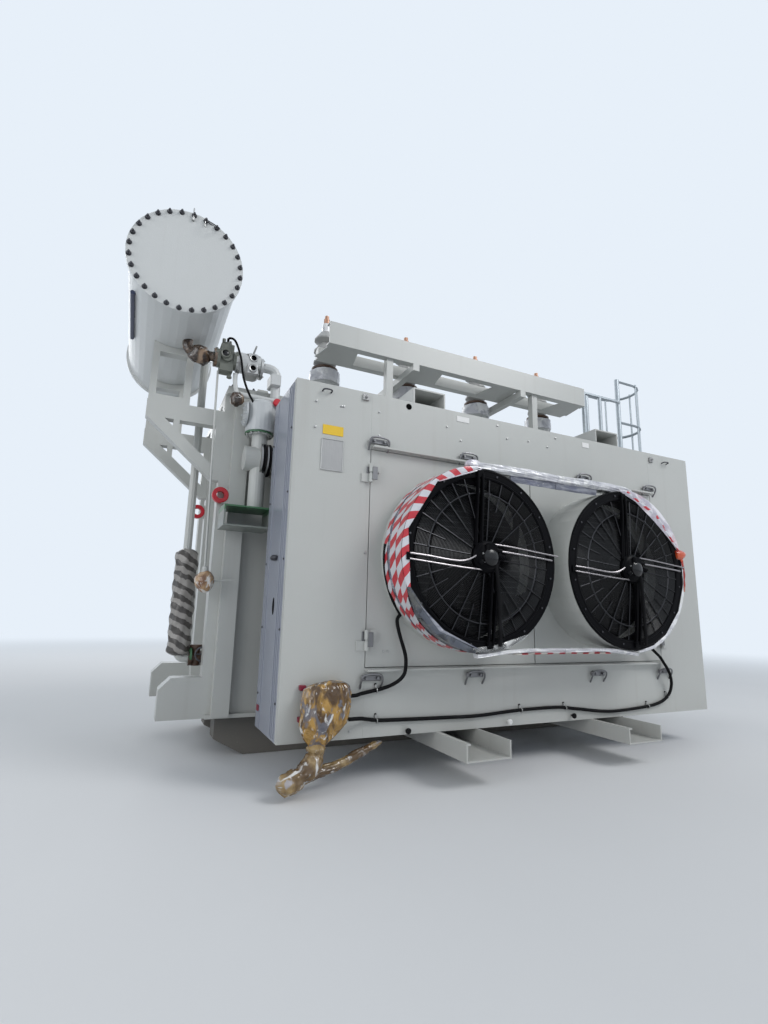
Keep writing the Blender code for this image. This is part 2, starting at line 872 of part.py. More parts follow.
def door(side):
    """A fan door: a folded panel with the fan's hole and the moving half of the hinges."""
    hinge_edge = side * (SEAM - DOOR_CLEARANCE)
    free_edge = side * DOOR_MEETING_GAP / 2
    leaf = tray(
        f"{mirrored(side)}_door",
        (min(hinge_edge, free_edge), COOLER_FRONT, DOOR_LOW + DOOR_CLEARANCE),
        (max(hinge_edge, free_edge), COOLER_FRONT + PANEL_DEPTH, DOOR_HIGH - DOOR_CLEARANCE),
    )
    centre = side * FAN_OFFSET
    hole = rod(
        "fan_hole",
        (centre, COOLER_FRONT - OVERRUN, FAN_LEVEL),
        (centre, COOLER_FRONT + PANEL_DEPTH + OVERRUN, FAN_LEVEL),
        DOOR_HOLE,
        sides=FAN_SIDES,
    )
    cut(leaf, hole)
    seam = side * SEAM
    knuckles, bores = [], []
    for level in hinge_levels():
        low, high = level + DOOR_CLEARANCE, level + HINGE_HEIGHT / 2
        knuckles.append(
            rod("moving_knuckle", (seam, HINGE_LINE, low), (seam, HINGE_LINE, high),
                HINGE_KNUCKLE, sides=HINGE_SIDES)
        )
        inner = seam - side * HINGE_LEAF
        knuckles.append(
            box(
                "moving_leaf",
                (min(seam, inner), HINGE_LINE - HINGE_LEAF_THICKNESS, low),
                (max(seam, inner), HINGE_LINE + HINGE_LEAF_THICKNESS, high),
            )
        )
        knuckles.append(
            box(
                "leaf_foot",
                (min(inner, inner + side * HINGE_LEAF / 2), HINGE_LINE, low),
                (max(inner, inner + side * HINGE_LEAF / 2), COOLER_FRONT + SHEET / 2, high),
            )
        )
        bores.append(
            rod("hinge_bore", (seam, HINGE_LINE, low - OVERRUN), (seam, HINGE_LINE, high + OVERRUN),
                HINGE_BORE, sides=HINGE_SIDES)
        )
    weld(leaf, *knuckles)
    return cut(leaf, *bores)


def fan_place(side):
    """The middle of a fan's hole on the front of the door."""
    return Vector((side * FAN_OFFSET, COOLER_FRONT, FAN_LEVEL))


def shroud(side):
    """The round duct that stands out from the door, with a lip that the guard sits on."""
    outer, inner = SHROUD_RADIUS, SHROUD_RADIUS - SHROUD_WALL
    lip = SHROUD_RADIUS - SHROUD_LIP
    profile = [
        (lip, SHROUD_REACH),
        (outer, SHROUD_REACH),
        (outer, GAP),
        (inner, GAP),
        (inner, SHROUD_REACH - SHROUD_WALL),
        (lip, SHROUD_REACH - SHROUD_WALL),
    ]
    return turned(f"{mirrored(side)}_shroud", profile, fan_place(side), "out", sides=FAN_SIDES)


def guard(side):
    """The nozzle ring with its wire guard: rings, spokes, paired stays beside the middle, a plate and a cap."""
    name = f"{mirrored(side)}_guard"
    place = fan_place(side)
    outer = SHROUD_RADIUS - SHROUD_LIP - GAP
    inner = NOZZLE_INNER
    front = SHROUD_REACH
    profile = [
        (inner, front + NOZZLE_RIM),
        (GUARD_RADIUS, front + NOZZLE_RIM),
        (GUARD_RADIUS, front + GAP),
        (outer, front + GAP),
        (outer, front - NOZZLE_WALL),
        (inner + NOZZLE_WALL, front - NOZZLE_WALL),
        (inner + NOZZLE_WALL, front - NOZZLE_DEPTH),
        (inner, front - NOZZLE_DEPTH),
    ]
    ring = turned(name, profile, place, "out", "black_fan", FAN_SIDES)
    level = front + NOZZLE_RIM / 2
    wires = []
    for i in range(GUARD_RINGS):
        radius = MOTOR_RADIUS + (inner - MOTOR_RADIUS) * (i + 0.5) / GUARD_RINGS
        bpy.ops.mesh.primitive_torus_add(
            major_segments=GUARD_SIDES,
            minor_segments=4,
            major_radius=radius,
            minor_radius=GUARD_WIRE / 2,
            location=place + Vector((0, -level, 0)),
            rotation=AXES["out"],
        )
        wires.append(settle(bpy.context.object, "guard_ring", "black_fan", PARTS))
    centre = place + Vector((0, -level, 0))
    turns = [(GUARD_TURN + 2 * math.pi * i / GUARD_SPOKES, 0) for i in range(GUARD_SPOKES)]
    for i in range(MOTOR_ARMS):
        for offset in (MOTOR_ARM_OFFSET, MOTOR_ARM_OFFSET + MOTOR_ARM_SPACING):
            turns.append((2 * math.pi * i / MOTOR_ARMS, offset))
    near, far = MOTOR_RADIUS - GUARD_WIRE, inner + NOZZLE_WALL / 2
    for angle, offset in turns:
        way = Vector((math.cos(angle), 0, math.sin(angle)))
        line = centre + Vector((-math.sin(angle), 0, math.cos(angle))) * offset
        start = line + way * math.sqrt(near**2 - offset**2)
        end = line + way * math.sqrt(far**2 - offset**2)
        wires.append(rod("guard_spoke", start, end, GUARD_SPOKE / 2, "black_fan", 6))
    cap = [
        (0, level + MOTOR_CAP_REACH),
        (MOTOR_CAP_RADIUS - MOTOR_CAP_ROUND, level + MOTOR_CAP_REACH),
        (MOTOR_CAP_RADIUS, level + MOTOR_CAP_REACH - MOTOR_CAP_ROUND),
        (MOTOR_CAP_RADIUS, level - GUARD_WIRE / 3),
        (0, level - GUARD_WIRE / 3),
    ]
    wires.append(turned("motor_cap", cap, place, "out", "black_fan", 20, closed=False))
    disc = rod(
        "guard_plate",
        place + Vector((0, -level - GUARD_WIRE, 0)),
        place + Vector((0, -level + GUARD_WIRE, 0)),
        MOTOR_RADIUS,
        "black_fan",
        24,
    )
    return weld(ring, disc, *wires)


def motor(side):
    """The fixed middle of the motor, hung behind the guard's plate, with a bore for the shaft."""
    place = fan_place(side)
    back_of_plate = SHROUD_REACH + NOZZLE_RIM / 2 - GUARD_WIRE - GAP
    front = place + Vector((0, -back_of_plate, 0))
    back = front + Vector((0, MOTOR_LENGTH, 0))
    body = rod(f"{mirrored(side)}_motor", front, back, MOTOR_RADIUS, "black_fan", 24)
    bore = rod(
        "motor_bore",
        back - Vector((0, SHAFT_LENGTH, 0)),
        back + Vector((0, OVERRUN, 0)),
        SHAFT_RADIUS + SHAFT_CLEARANCE,
        sides=HINGE_SIDES,
    )
    return cut(body, bore)


def blade(place, turn):
    """One sickle blade: chord lines that sweep, widen and flatten outward, the trailing edge toothed."""
    rows, columns = 2 * BLADE_TEETH + 1, 3
    mesh = bpy.data.meshes.new("blade")
    verts, faces = [], []
    for i in range(rows):
        t = i / (rows - 1)
        radius = (HUB_RADIUS - BLADE_THICKNESS) + (BLADE_TIP - HUB_RADIUS) * t
        chord = BLADE_CHORD_ROOT + (BLADE_CHORD_TIP - BLADE_CHORD_ROOT) * t
        pitch = BLADE_PITCH_ROOT + (BLADE_PITCH_TIP - BLADE_PITCH_ROOT) * t
        middle = turn + BLADE_SWEEP * t * t
        for j in range(columns):
            s = j / (columns - 1) - 1 / 2
            if j == columns - 1 and i % 2:
                s -= TOOTH_SHARE
            angle = middle + s * chord * math.cos(pitch) / max(radius, HUB_RADIUS)
            verts.append((radius * math.cos(angle), radius * math.sin(angle), s * chord * math.sin(pitch)))
    for i in range(rows - 1):
        for j in range(columns - 1):
            a = i * columns + j
            faces.append((a, a + 1, a + columns + 1, a + columns))
    mesh.from_pydata(verts, [], faces)
    obj = bpy.data.objects.new("blade", mesh)
    PARTS.objects.link(obj)
    obj.location = place
    obj.rotation_euler = AXES["out"]
    thick = obj.modifiers.new("Thickness", "SOLIDIFY")
    thick.thickness = BLADE_THICKNESS
    thick.offset = 0
    return settle(obj, "blade", "black_fan", PARTS)


def rotor(side):
    """The hub with its shaft and sickle blades, behind the motor."""
    place = fan_place(side)
    motor_back = SHROUD_REACH + NOZZLE_RIM / 2 - GUARD_WIRE - GAP - MOTOR_LENGTH
    hub_front = motor_back - RUNNING_GAP
    hub_back = hub_front - HUB_LENGTH
    hub = rod(
        f"{mirrored(side)}_rotor",
        place + Vector((0, -hub_front, 0)),
        place + Vector((0, -hub_back, 0)),
        HUB_RADIUS,
        "black_fan",
        24,
    )
    shaft_tip = motor_back + SHAFT_LENGTH - RUNNING_GAP
    shaft = rod(
        "fan_shaft",
        place + Vector((0, -shaft_tip, 0)),
        place + Vector((0, -(hub_front - HUB_LENGTH / 2), 0)),
        SHAFT_RADIUS,
        "black_fan",
        HINGE_SIDES,
    )
    middle = place + Vector((0, -(hub_front + hub_back) / 2, 0))
    blades = [blade(middle, 2 * math.pi * i / BLADE_COUNT) for i in range(BLADE_COUNT)]
    return weld(hub, shaft, *blades)


def terminal_box():
    """The rounded box on the left panel that the fan cables enter."""
    left = COOLER_LEFT + BOX_LEFT
    low = BASE_HEIGHT + BOX_BOTTOM
    made = box(
        "terminal_box",
        (left, COOLER_FRONT - BOX_REACH, low),
        (left + BOX_WIDTH, COOLER_FRONT - GAP, low + BOX_HEIGHT),
        "packing_film",
    )
    bevel = made.modifiers.new("Round", "BEVEL")
    bevel.width = BOX_ROUND
    bevel.segments = 2
    return made


# The routes below are in metres from the cooler's front lower left corner: right, out, up
TAIL_ROUTE = [
    (0.20, 0.07, 0.0187),
    (0.20, 0.07, -0.022),
    (0.193, 0.075, -0.06),
    (0.16, 0.095, -0.105),
    (0.09, 0.105, -0.15),
    (0.02, 0.11, -0.175),
    (-0.02, 0.11, -0.183),
]
TAIL_RETURN_ROUTE = [
    (0.0, 0.10, -0.182),
    (0.05, 0.078, -0.182),
    (0.11, 0.05, -0.174),
    (0.22, 0.03, -0.152),
    (0.35, 0.01, -0.128),
    (0.48, -0.01, -0.086),
    (0.58, -0.03, -0.055),
    (0.65, -0.05, -0.038),
]
LEFT_LEAD_ROUTE = [
    (0.7176, 0.03, 0.6977),
    (0.702, 0.03, 0.685),
    (0.693, 0.033, 0.66),
    (0.698, 0.042, 0.61),
    (0.716, 0.052, 0.54),
    (0.735, 0.06, 0.475),
    (0.741, 0.064, 0.43),
    (0.74, 0.065, 0.402),
]
LEFT_CABLE_ROUTE = [
    (0.738, 0.065, 0.38),
    (0.73, 0.062, 0.35),
    (0.705, 0.052, 0.318),
    (0.66, 0.035, 0.289),
    (0.60, 0.022, 0.268),
    (0.53, 0.02, 0.256),
    (0.47, 0.035, 0.249),
    (0.43, 0.062, 0.2455),
    (0.405, 0.07, 0.245),
    (0.3829, 0.07, 0.245),
]
RIGHT_LEAD_ROUTE = [
    (2.7643, 0.03, 0.6196),
    (2.777, 0.03, 0.604),
    (2.808, 0.034, 0.568),
    (2.87, 0.045, 0.505),
    (2.925, 0.055, 0.455),
    (2.96, 0.062, 0.423),
    (2.978, 0.065, 0.402),
]
RIGHT_CABLE_ROUTE = [
    (2.992, 0.066, 0.38),
    (3.025, 0.063, 0.345),
    (3.065, 0.057, 0.29),
    (3.09, 0.045, 0.22),
    (3.08, 0.03, 0.15),
    (3.03, 0.018, 0.10),
    (2.94, 0.015, 0.072),
    (2.82, 0.015, 0.058),
    (2.57, 0.015, 0.045),
    (2.39, 0.015, 0.048),
    (2.12, 0.015, 0.079),
    (1.95, 0.015, 0.097),
    (1.63, 0.015, 0.096),
    (1.30, 0.015, 0.08),
    (1.06, 0.015, 0.082),
    (0.81, 0.015, 0.087),
    (0.60, 0.015, 0.093),
    (0.52, 0.024, 0.105),
    (0.475, 0.048, 0.115),
    (0.44, 0.0685, 0.1205),
    (0.403, 0.07, 0.1205),
    (0.3829, 0.07, 0.1205),
]


def from_corner(route):
    """Route points moved from the cooler's lower left corner to the part's own frame."""
    return [(COOLER_LEFT + x, COOLER_FRONT - out, BASE_HEIGHT + z) for x, out, z in route]


def cables():
    """The fan cables: a lead on each door and a fixed run to the terminal box."""
    routes = {
        "left_cable_lead": (LEFT_LEAD_ROUTE, 20),
        "right_cable_lead": (RIGHT_LEAD_ROUTE, 20),
        "left_fan_cable": (LEFT_CABLE_ROUTE, 18),
        "right_fan_cable": (RIGHT_CABLE_ROUTE, 60),
    }
    return {
        name: pipe(name, smooth_path(from_corner(route), count), CABLE_RADIUS, "black_cable", 2)
        for name, (route, count) in routes.items()
    }


def wrapped_tail():
    """The film-wrapped cable ends that hang under the terminal box and double back under the housing."""
    down = smooth_path(from_corner(TAIL_ROUTE), 10)
    back = smooth_path(from_corner(TAIL_RETURN_ROUTE), 12)
    tail = pipe_mesh("wrapped_tail", down, TAIL_RADIUS, "packing_film", 2)
    return weld(tail, pipe_mesh("tail_return", back, TAIL_RETURN_RADIUS, "packing_film", 2))


def tape(side):
    """The packing tape round the outer half of a shroud, run on to the doors' meeting line."""
    inner = SHROUD_RADIUS + GAP
    outer = inner + TAPE_THICKNESS
    steps = FAN_SIDES // 2
    top = math.pi / 2
    sweep = -side * math.pi
    reach = -side * (FAN_OFFSET - DOOR_MEETING_GAP / 2)
    outline = [
        (reach, outer),
        *circle(outer, sides=steps, start=top, sweep=sweep),
        (reach, -outer),
        (reach, -inner),
        *circle(inner, sides=steps, start=top + sweep, sweep=-sweep),
        (reach, inner),
    ]
    centre = fan_place(side) + Vector((0, -SHROUD_REACH + TAPE_INSET + TAPE_WIDTH / 2, 0))
    return plate(f"{mirrored(side)}_packing_tape", outline, TAPE_WIDTH, centre, "front", "packing_tape")


def conservator():
    """The shell with its end flanges, and the two bolted end covers."""
    front = TANK_FRONT - CONSERVATOR_FRONT
    place = (CONSERVATOR_X, front, CONSERVATOR_LEVEL)
    length, flange, thick = CONSERVATOR_LENGTH, CONSERVATOR_FLANGE, CONSERVATOR_FLANGE_THICKNESS
    outer = CONSERVATOR_RADIUS
    inner = outer - CONSERVATOR_WALL
    skip = CONSERVATOR_COVER_THICKNESS + GAP
    profile = [
        (inner, -skip),
        (flange, -skip),
        (flange, -skip - thick),
        (outer, -skip - thick),
        (outer, -length + skip + thick),
        (flange, -length + skip + thick),
        (flange, -length + skip),
        (inner, -length + skip),
    ]
    turned("conservator_shell", profile, place, "out", sides=CONSERVATOR_SIDES)
    for name, start in (("conservator_front_cover", 0), ("conservator_rear_cover", length)):
        low = front + start
        step = CONSERVATOR_COVER_THICKNESS if start == 0 else -CONSERVATOR_COVER_THICKNESS
        rod(
            name,
            (CONSERVATOR_X, low, CONSERVATOR_LEVEL),
            (CONSERVATOR_X, low + step, CONSERVATOR_LEVEL),
            flange,
            sides=CONSERVATOR_SIDES,
        )


def conservator_bracket(name, depth):
    """A triangular bracket on the tank's end wall with the saddle that carries the shell."""
    beam, strut = BRACKET_BEAM, BRACKET_STRUT
    seat_x = -STIFFENER_DEPTH - GAP
    foot = seat_x - BRACKET_FOOT
    corner = -BRACKET_REACH
    low = -BRACKET_DROP
    outline = [(seat_x, 0), (corner, 0), (corner, -beam), (foot, low), (seat_x, low)]
    slope = (low + beam) / (foot - corner)

    def under(x):
        """The lower edge of the strut at x."""
        return -beam + (x - corner) * slope

    web_left = -BRACKET_WEB_REACH - BRACKET_WEB / 2
    web_right = -BRACKET_WEB_REACH + BRACKET_WEB / 2
    window_left = [
        (corner - strut / slope, -beam),
        (web_left, -beam),
        (web_left, under(web_left) + strut),
    ]
    window_right = [
        (web_right, -beam),
        (foot, -beam),
        (foot, under(foot) + strut),
        (web_right, under(web_right) + strut),
    ]
    base = (-TANK_LENGTH / 2, depth, BRACKET_TOP)
    made = plate(name, outline, BRACKET_THICKNESS, base, "front", holes=(window_left, window_right))
    seat = CONSERVATOR_LEVEL - BRACKET_TOP
    middle = -CONSERVATOR_OUT
    half = SADDLE_WIDTH / 2
    spread = math.asin(half / CONSERVATOR_RADIUS)
    radius = (CONSERVATOR_RADIUS + GAP) / math.cos(spread / SADDLE_STEPS)
    arc = circle(radius, (middle, seat), SADDLE_STEPS, -math.pi / 2 + spread, -2 * spread)
    saddle_outline = [(middle - half, -beam / 2), (middle + half, -beam / 2), *arc]
    crown = seat - radius
    window = rectangle(
        (middle - half + SADDLE_FRAME, SADDLE_FRAME),
        (middle + half - SADDLE_FRAME, crown - SADDLE_FRAME),
    )
    saddle = plate("saddle", saddle_outline, BRACKET_THICKNESS, base, "front", holes=(window,))
    return weld(made, saddle)


def shell_cutter(depth):
    """A round cutter that holds the conservator's shell, for pipes that end on it."""
    return rod(
        "shell_cutter",
        (CONSERVATOR_X, depth - CONSERVATOR_RADIUS, CONSERVATOR_LEVEL),
        (CONSERVATOR_X, depth + CONSERVATOR_RADIUS, CONSERVATOR_LEVEL),
        CONSERVATOR_RADIUS + GAP,
        sides=CONSERVATOR_SIDES,
    )


def flange(name, x, depth, level, radius, slot="grey_paint"):
    """A round flange on a pipe that runs along the tank, from x to the right."""
    return rod(name, (x, depth, level), (x + FLANGE_THICKNESS, depth, level), radius, slot, 16)


def outlet():
    """The bent pipe from the conservator's underside, with its wrapped valve."""
    depth = TANK_FRONT - RELAY_STANDOFF
    radius = RELAY_PIPE_RADIUS
    start = -TANK_LENGTH / 2 - OUTLET_OUT
    end = -TANK_LENGTH / 2 - RELAY_OUT - GAP
    valve_x = -TANK_LENGTH / 2 - OUTLET_VALVE_OUT
    route = [
        (start, depth, CONSERVATOR_LEVEL - CONSERVATOR_RADIUS / 2),
        (start, depth, RELAY_LEVEL),
        (end, depth, RELAY_LEVEL),
    ]
    path = rounded_path(route, radius * PIPE_BEND_SHARE)
    made = pipe_mesh("conservator_outlet", path, radius, "brown_film")
    bpy.ops.mesh.primitive_uv_sphere_add(
        segments=12, ring_count=8, radius=OUTLET_VALVE_RADIUS, location=(valve_x, depth, RELAY_LEVEL)
    )
    ball = settle(bpy.context.object, "wrapped_valve", "brown_film", PARTS)
    rim = flange("outlet_flange", end - FLANGE_THICKNESS, depth, RELAY_LEVEL, radius * FLANGE_SHARE)
    weld(made, ball, rim)
    return cut(made, shell_cutter(depth))


def gas_relay():
    """The relay's cast body with its round window, top cap and end flanges."""
    depth = TANK_FRONT - RELAY_STANDOFF
    left = -TANK_LENGTH / 2 - RELAY_OUT
    right = left + RELAY_BODY
    middle, half = (left + right) / 2, RELAY_BODY / 2 - FLANGE_THICKNESS
    low, high = RELAY_LEVEL - RELAY_HEIGHT / 2, RELAY_LEVEL + RELAY_HEIGHT / 2
    corner = (middle - half, depth - half, low)
    body = box("gas_relay", corner, (middle + half, depth + half, high), "relay_paint")
    core_radius = RELAY_PIPE_RADIUS * FLANGE_SHARE
    through = rod("relay_bore", (left, depth, RELAY_LEVEL), (right, depth, RELAY_LEVEL), RELAY_PIPE_RADIUS)
    ends = [
        flange("relay_flange", x, depth, RELAY_LEVEL, core_radius)
        for x in (left, right - FLANGE_THICKNESS)
    ]
    window = rod(
        "relay_window",
        (middle, depth - half - RELAY_WINDOW_PROUD, RELAY_LEVEL),
        (middle, depth, RELAY_LEVEL),
        RELAY_WINDOW,
        sides=16,
    )
    cap = rod(
        "relay_cap",
        (middle, depth, RELAY_LEVEL),
        (middle, depth, high + RELAY_WINDOW_PROUD),
        RELAY_WINDOW,
        sides=16,
    )
    return weld(body, through, window, cap, *ends)


def relay_pipe():
    """The cast fitting after the relay and the pipe that drops and turns into the tank's wall."""
    depth = TANK_FRONT - RELAY_STANDOFF
    radius = RELAY_PIPE_RADIUS
    start = -TANK_LENGTH / 2 - RELAY_OUT + RELAY_BODY + GAP
    land = -TANK_LENGTH / 2 + RELAY_LANDING
    route = [
        (start, depth, RELAY_LEVEL),
        (land, depth, RELAY_LEVEL),
        (land, depth, RELAY_ENTRY_LEVEL),
        (land, TANK_FRONT - GAP, RELAY_ENTRY_LEVEL),
    ]
    made = pipe_mesh("relay_pipe", rounded_path(route, radius * PIPE_BEND_SHARE), radius, "cast_white")
    rim = radius * FLANGE_SHARE
    fitting_end = start + FLANGE_THICKNESS + FITTING_LENGTH
    fitting = rod(
        "cast_fitting",
        (start + FLANGE_THICKNESS, depth, RELAY_LEVEL),
        (fitting_end, depth, RELAY_LEVEL),
        FITTING_RADIUS,
        sides=20,
    )
    return weld(made, fitting, flange("pipe_flange", start, depth, RELAY_LEVEL, rim))


def breather():
    """A wrapped breather on a thin tube under the relay, held to the tank by a small arm."""
    depth = TANK_FRONT - RELAY_STANDOFF
    left = -TANK_LENGTH / 2 - BREATHER_OUT
    top = RELAY_LEVEL - RELAY_HEIGHT / 2 - GAP
    bpy.ops.mesh.primitive_uv_sphere_add(
        segments=12, ring_count=8, radius=BREATHER_RADIUS, location=(left, depth, BREATHER_LEVEL)
    )
    ball = settle(bpy.context.object, "breather", "brown_film", PARTS)
    tube = rod("breather_tube", (left, depth, BREATHER_LEVEL), (left, depth, top), TUBE_RADIUS, sides=8)
    arm_x = -TANK_LENGTH / 2 + STIFFENER_WIDTH / 2
    route = [
        (left, depth, BREATHER_LEVEL),
        (arm_x, depth, BREATHER_LEVEL),
        (arm_x, TANK_FRONT - STIFFENER_DEPTH - GAP, BREATHER_LEVEL),
    ]
    path = rounded_path(route, TUBE_RADIUS * PIPE_BEND_SHARE)
    arm = pipe_mesh("breather_arm", path, TUBE_RADIUS, resolution=1)
    return weld(ball, tube, arm)


def filler_pipe():
    """The upright pipe from the drain valve to the conservator, wrapped for transport low down."""
    depth = TANK_FRONT + FILLER_INSET
    place = -TANK_LENGTH / 2 - FILLER_OUT
    route = [
        (place, depth, CONSERVATOR_LEVEL - CONSERVATOR_RADIUS / 2),
        (place, depth, DRAIN_LEVEL),
        (-TANK_LENGTH / 2 - DRAIN_REACH - GAP, depth, DRAIN_LEVEL),
    ]
    upright = pipe_mesh("filler_pipe", rounded_path(route, FILLER_RADIUS * PIPE_BEND_SHARE), FILLER_RADIUS)
    wrap = rod(
        "wrapped_length",
        (place, depth, WRAPPED_LOW),
        (place, depth, WRAPPED_HIGH),
        WRAPPED_RADIUS,
        sides=16,
    )
    weld(upright, wrap)
    return cut(upright, shell_cutter(depth))


def drain_valve():
    """The valve between the filler pipe and the tank's end wall, with its flanges and handwheel."""
    depth = TANK_FRONT + FILLER_INSET
    wall = -TANK_LENGTH / 2 - GAP
    outer = -TANK_LENGTH / 2 - DRAIN_REACH
    inlet = (outer, depth, DRAIN_LEVEL)
    valve = rod("drain_valve", inlet, (wall, depth, DRAIN_LEVEL), FILLER_RADIUS, "relay_paint")
    second = outer + FLANGE_THICKNESS + DRAIN_BODY
    middle = (outer + FLANGE_THICKNESS + second) / 2
    stem_top = DRAIN_LEVEL + DRAIN_STEM
    bonnet = rod(
        "valve_bonnet",
        (middle, depth, DRAIN_LEVEL - DRAIN_FLANGE),
        (middle, depth, stem_top),
        DRAIN_RADIUS,
    )
    wheel = rod(
        "valve_wheel",
        (middle, depth, stem_top),
        (middle, depth, stem_top + FLANGE_THICKNESS),
        DRAIN_WHEEL,
    )
    rims = [flange("valve_flange", x, depth, DRAIN_LEVEL, DRAIN_FLANGE) for x in (outer, second)]
    return weld(valve, bonnet, wheel, *rims)


def inlet_valve():
    """The domed cast valve that stands before the tank's wall, with its nozzle into it."""
    place = (-TANK_LENGTH / 2 + INLET_INSET, TANK_FRONT - INLET_STANDOFF, INLET_LEVEL)
    half = VALVE_HEIGHT / 2
    steps = 4
    rise = VALVE_RADIUS * DOME_SHARE
    dome = []
    for i in range(steps + 1):
        angle = math.pi / 2 * (1 - i / steps)
        dome.append((VALVE_RADIUS * math.cos(angle), half + rise * math.sin(angle)))
    profile = [(0, half + rise), *dome[1:], (VALVE_RADIUS, -half), (0, -half)]
    valve = turned("inlet_valve", profile, place, slot="cast_white", sides=24, closed=False)
    nozzle = rod(
        "inlet_nozzle",
        place,
        (place[0], TANK_FRONT - GAP, INLET_LEVEL),
        INLET_NECK,
    )
    return weld(valve, nozzle)


def inlet_elbow():
    """The elbow under the valve, with its flange above and the leg that stands on the bracket."""
    place = -TANK_LENGTH / 2 + INLET_INSET
    depth = TANK_FRONT - INLET_STANDOFF
    top = INLET_LEVEL - VALVE_HEIGHT / 2 - GAP
    right = place + ELBOW_RADIUS - GAP
    made = rod("inlet_elbow", (place, depth, ELBOW_LEVEL), (place, depth, top), LEG_RADIUS, sides=20)
    body = rod(
        "elbow_body",
        (place - ELBOW_DOME, depth, ELBOW_LEVEL),
        (right, depth, ELBOW_LEVEL),
        ELBOW_RADIUS,
        sides=24,
    )
    under = (place, depth, top - FLANGE_THICKNESS)
    collar = rod("elbow_collar", under, (place, depth, top), ELBOW_RADIUS, sides=24)
    leg = rod(
        "elbow_leg",
        (place, depth, SIDE_BRACKET_LOW + SIDE_BRACKET_HEIGHT + GAP),
        (place, depth, ELBOW_LEVEL),
        LEG_RADIUS,
        sides=20,
    )
    return weld(made, body, collar, leg)


def inlet_bellows():
    """The metal bellows between the elbow and the inlet pipe."""
    left = -TANK_LENGTH / 2 + INLET_INSET + ELBOW_RADIUS
    wave = BELLOWS_LENGTH / BELLOWS_WAVES
    folds = []
    for i in range(BELLOWS_WAVES):
        top = BELLOWS_LENGTH - wave * i
        folds += [
            (ELBOW_RADIUS, top),
            (BELLOWS_RADIUS, top - wave / 4),
            (BELLOWS_RADIUS, top - 3 * wave / 4),
        ]
    profile = [(0, BELLOWS_LENGTH), *folds, (ELBOW_RADIUS, 0), (0, 0)]
    place = (left, TANK_FRONT - INLET_STANDOFF, ELBOW_LEVEL)
    return turned("inlet_bellows", profile, place, "right", "galvanised", 24, closed=False)


def core_pipes():
    """The pipe from the bellows into the back of the core, and the return pipe below it."""
    depth = TANK_FRONT - INLET_STANDOFF
    start = -TANK_LENGTH / 2 + INLET_INSET + ELBOW_RADIUS + BELLOWS_LENGTH + GAP
    entry = COOLER_LEFT + ENTRY_INSET
    core_back = COOLER_BACK - CORE_RECESS + GAP
    route = [(start, depth, ELBOW_LEVEL), (entry, depth, ELBOW_LEVEL), (entry, core_back, ELBOW_LEVEL)]
    pipe("inlet_pipe", rounded_path(route, RETURN_RADIUS * PIPE_BEND_SHARE), RETURN_RADIUS)
    route = [(entry, core_back, RETURN_LEVEL), (entry, TANK_FRONT - GAP, RETURN_LEVEL)]
    pipe("return_pipe", route, RETURN_RADIUS)


def side_bracket():
    """The box channel between the casing's back and the tank's corner stiffener."""
    left = -TANK_LENGTH / 2 - SIDE_BRACKET_OUT
    front, back = COOLER_BACK + GAP, TANK_FRONT - STIFFENER_DEPTH - GAP
    wall, height, width = ARM_WALL, SIDE_BRACKET_HEIGHT, SIDE_BRACKET_WIDTH
    outline = rectangle((0, 0), (width, height))
    hole = rectangle((wall, wall), (width - wall, height - wall))
    centre = (left, (front + back) / 2, SIDE_BRACKET_LOW)
    return plate("side_bracket", outline, back - front, centre, "front", "green_paint", holes=(hole,))


def bushings():
    """Four bushings in a row, each a turret, a shedded insulator and a terminal."""
    base = COVER_TOP + GAP
    top = BUSHING_TIP - TERMINAL_HEIGHT
    shed_pitch = (top - base - TURRET_HEIGHT) / SHED_COUNT
    for i in range(BUSHING_COUNT):
        place = (ROW_SHIFT + BUSHING_PITCH * (i - (BUSHING_COUNT - 1) / 2), -BUSHING_DEPTH, 0)
        profile = [
            (0, BUSHING_TIP),
            (TERMINAL_RADIUS, BUSHING_TIP),
            (TERMINAL_RADIUS, top),
        ]
        for k in range(SHED_COUNT):
            high = top - shed_pitch * k
            lip, under = (high - shed_pitch * share for share in SHED_SHARES)
            profile += [(INSULATOR_CORE, high), (SHED_RADIUS, lip), (SHED_RADIUS, under)]
        profile += [
            (INSULATOR_CORE, base + TURRET_HEIGHT),
            (TURRET_RADIUS, base + TURRET_HEIGHT),
            (TURRET_RADIUS, base),
            (0, base),
        ]
        turned(f"bushing_{i + 1}", profile, place, slot="porcelain", sides=14, closed=False)


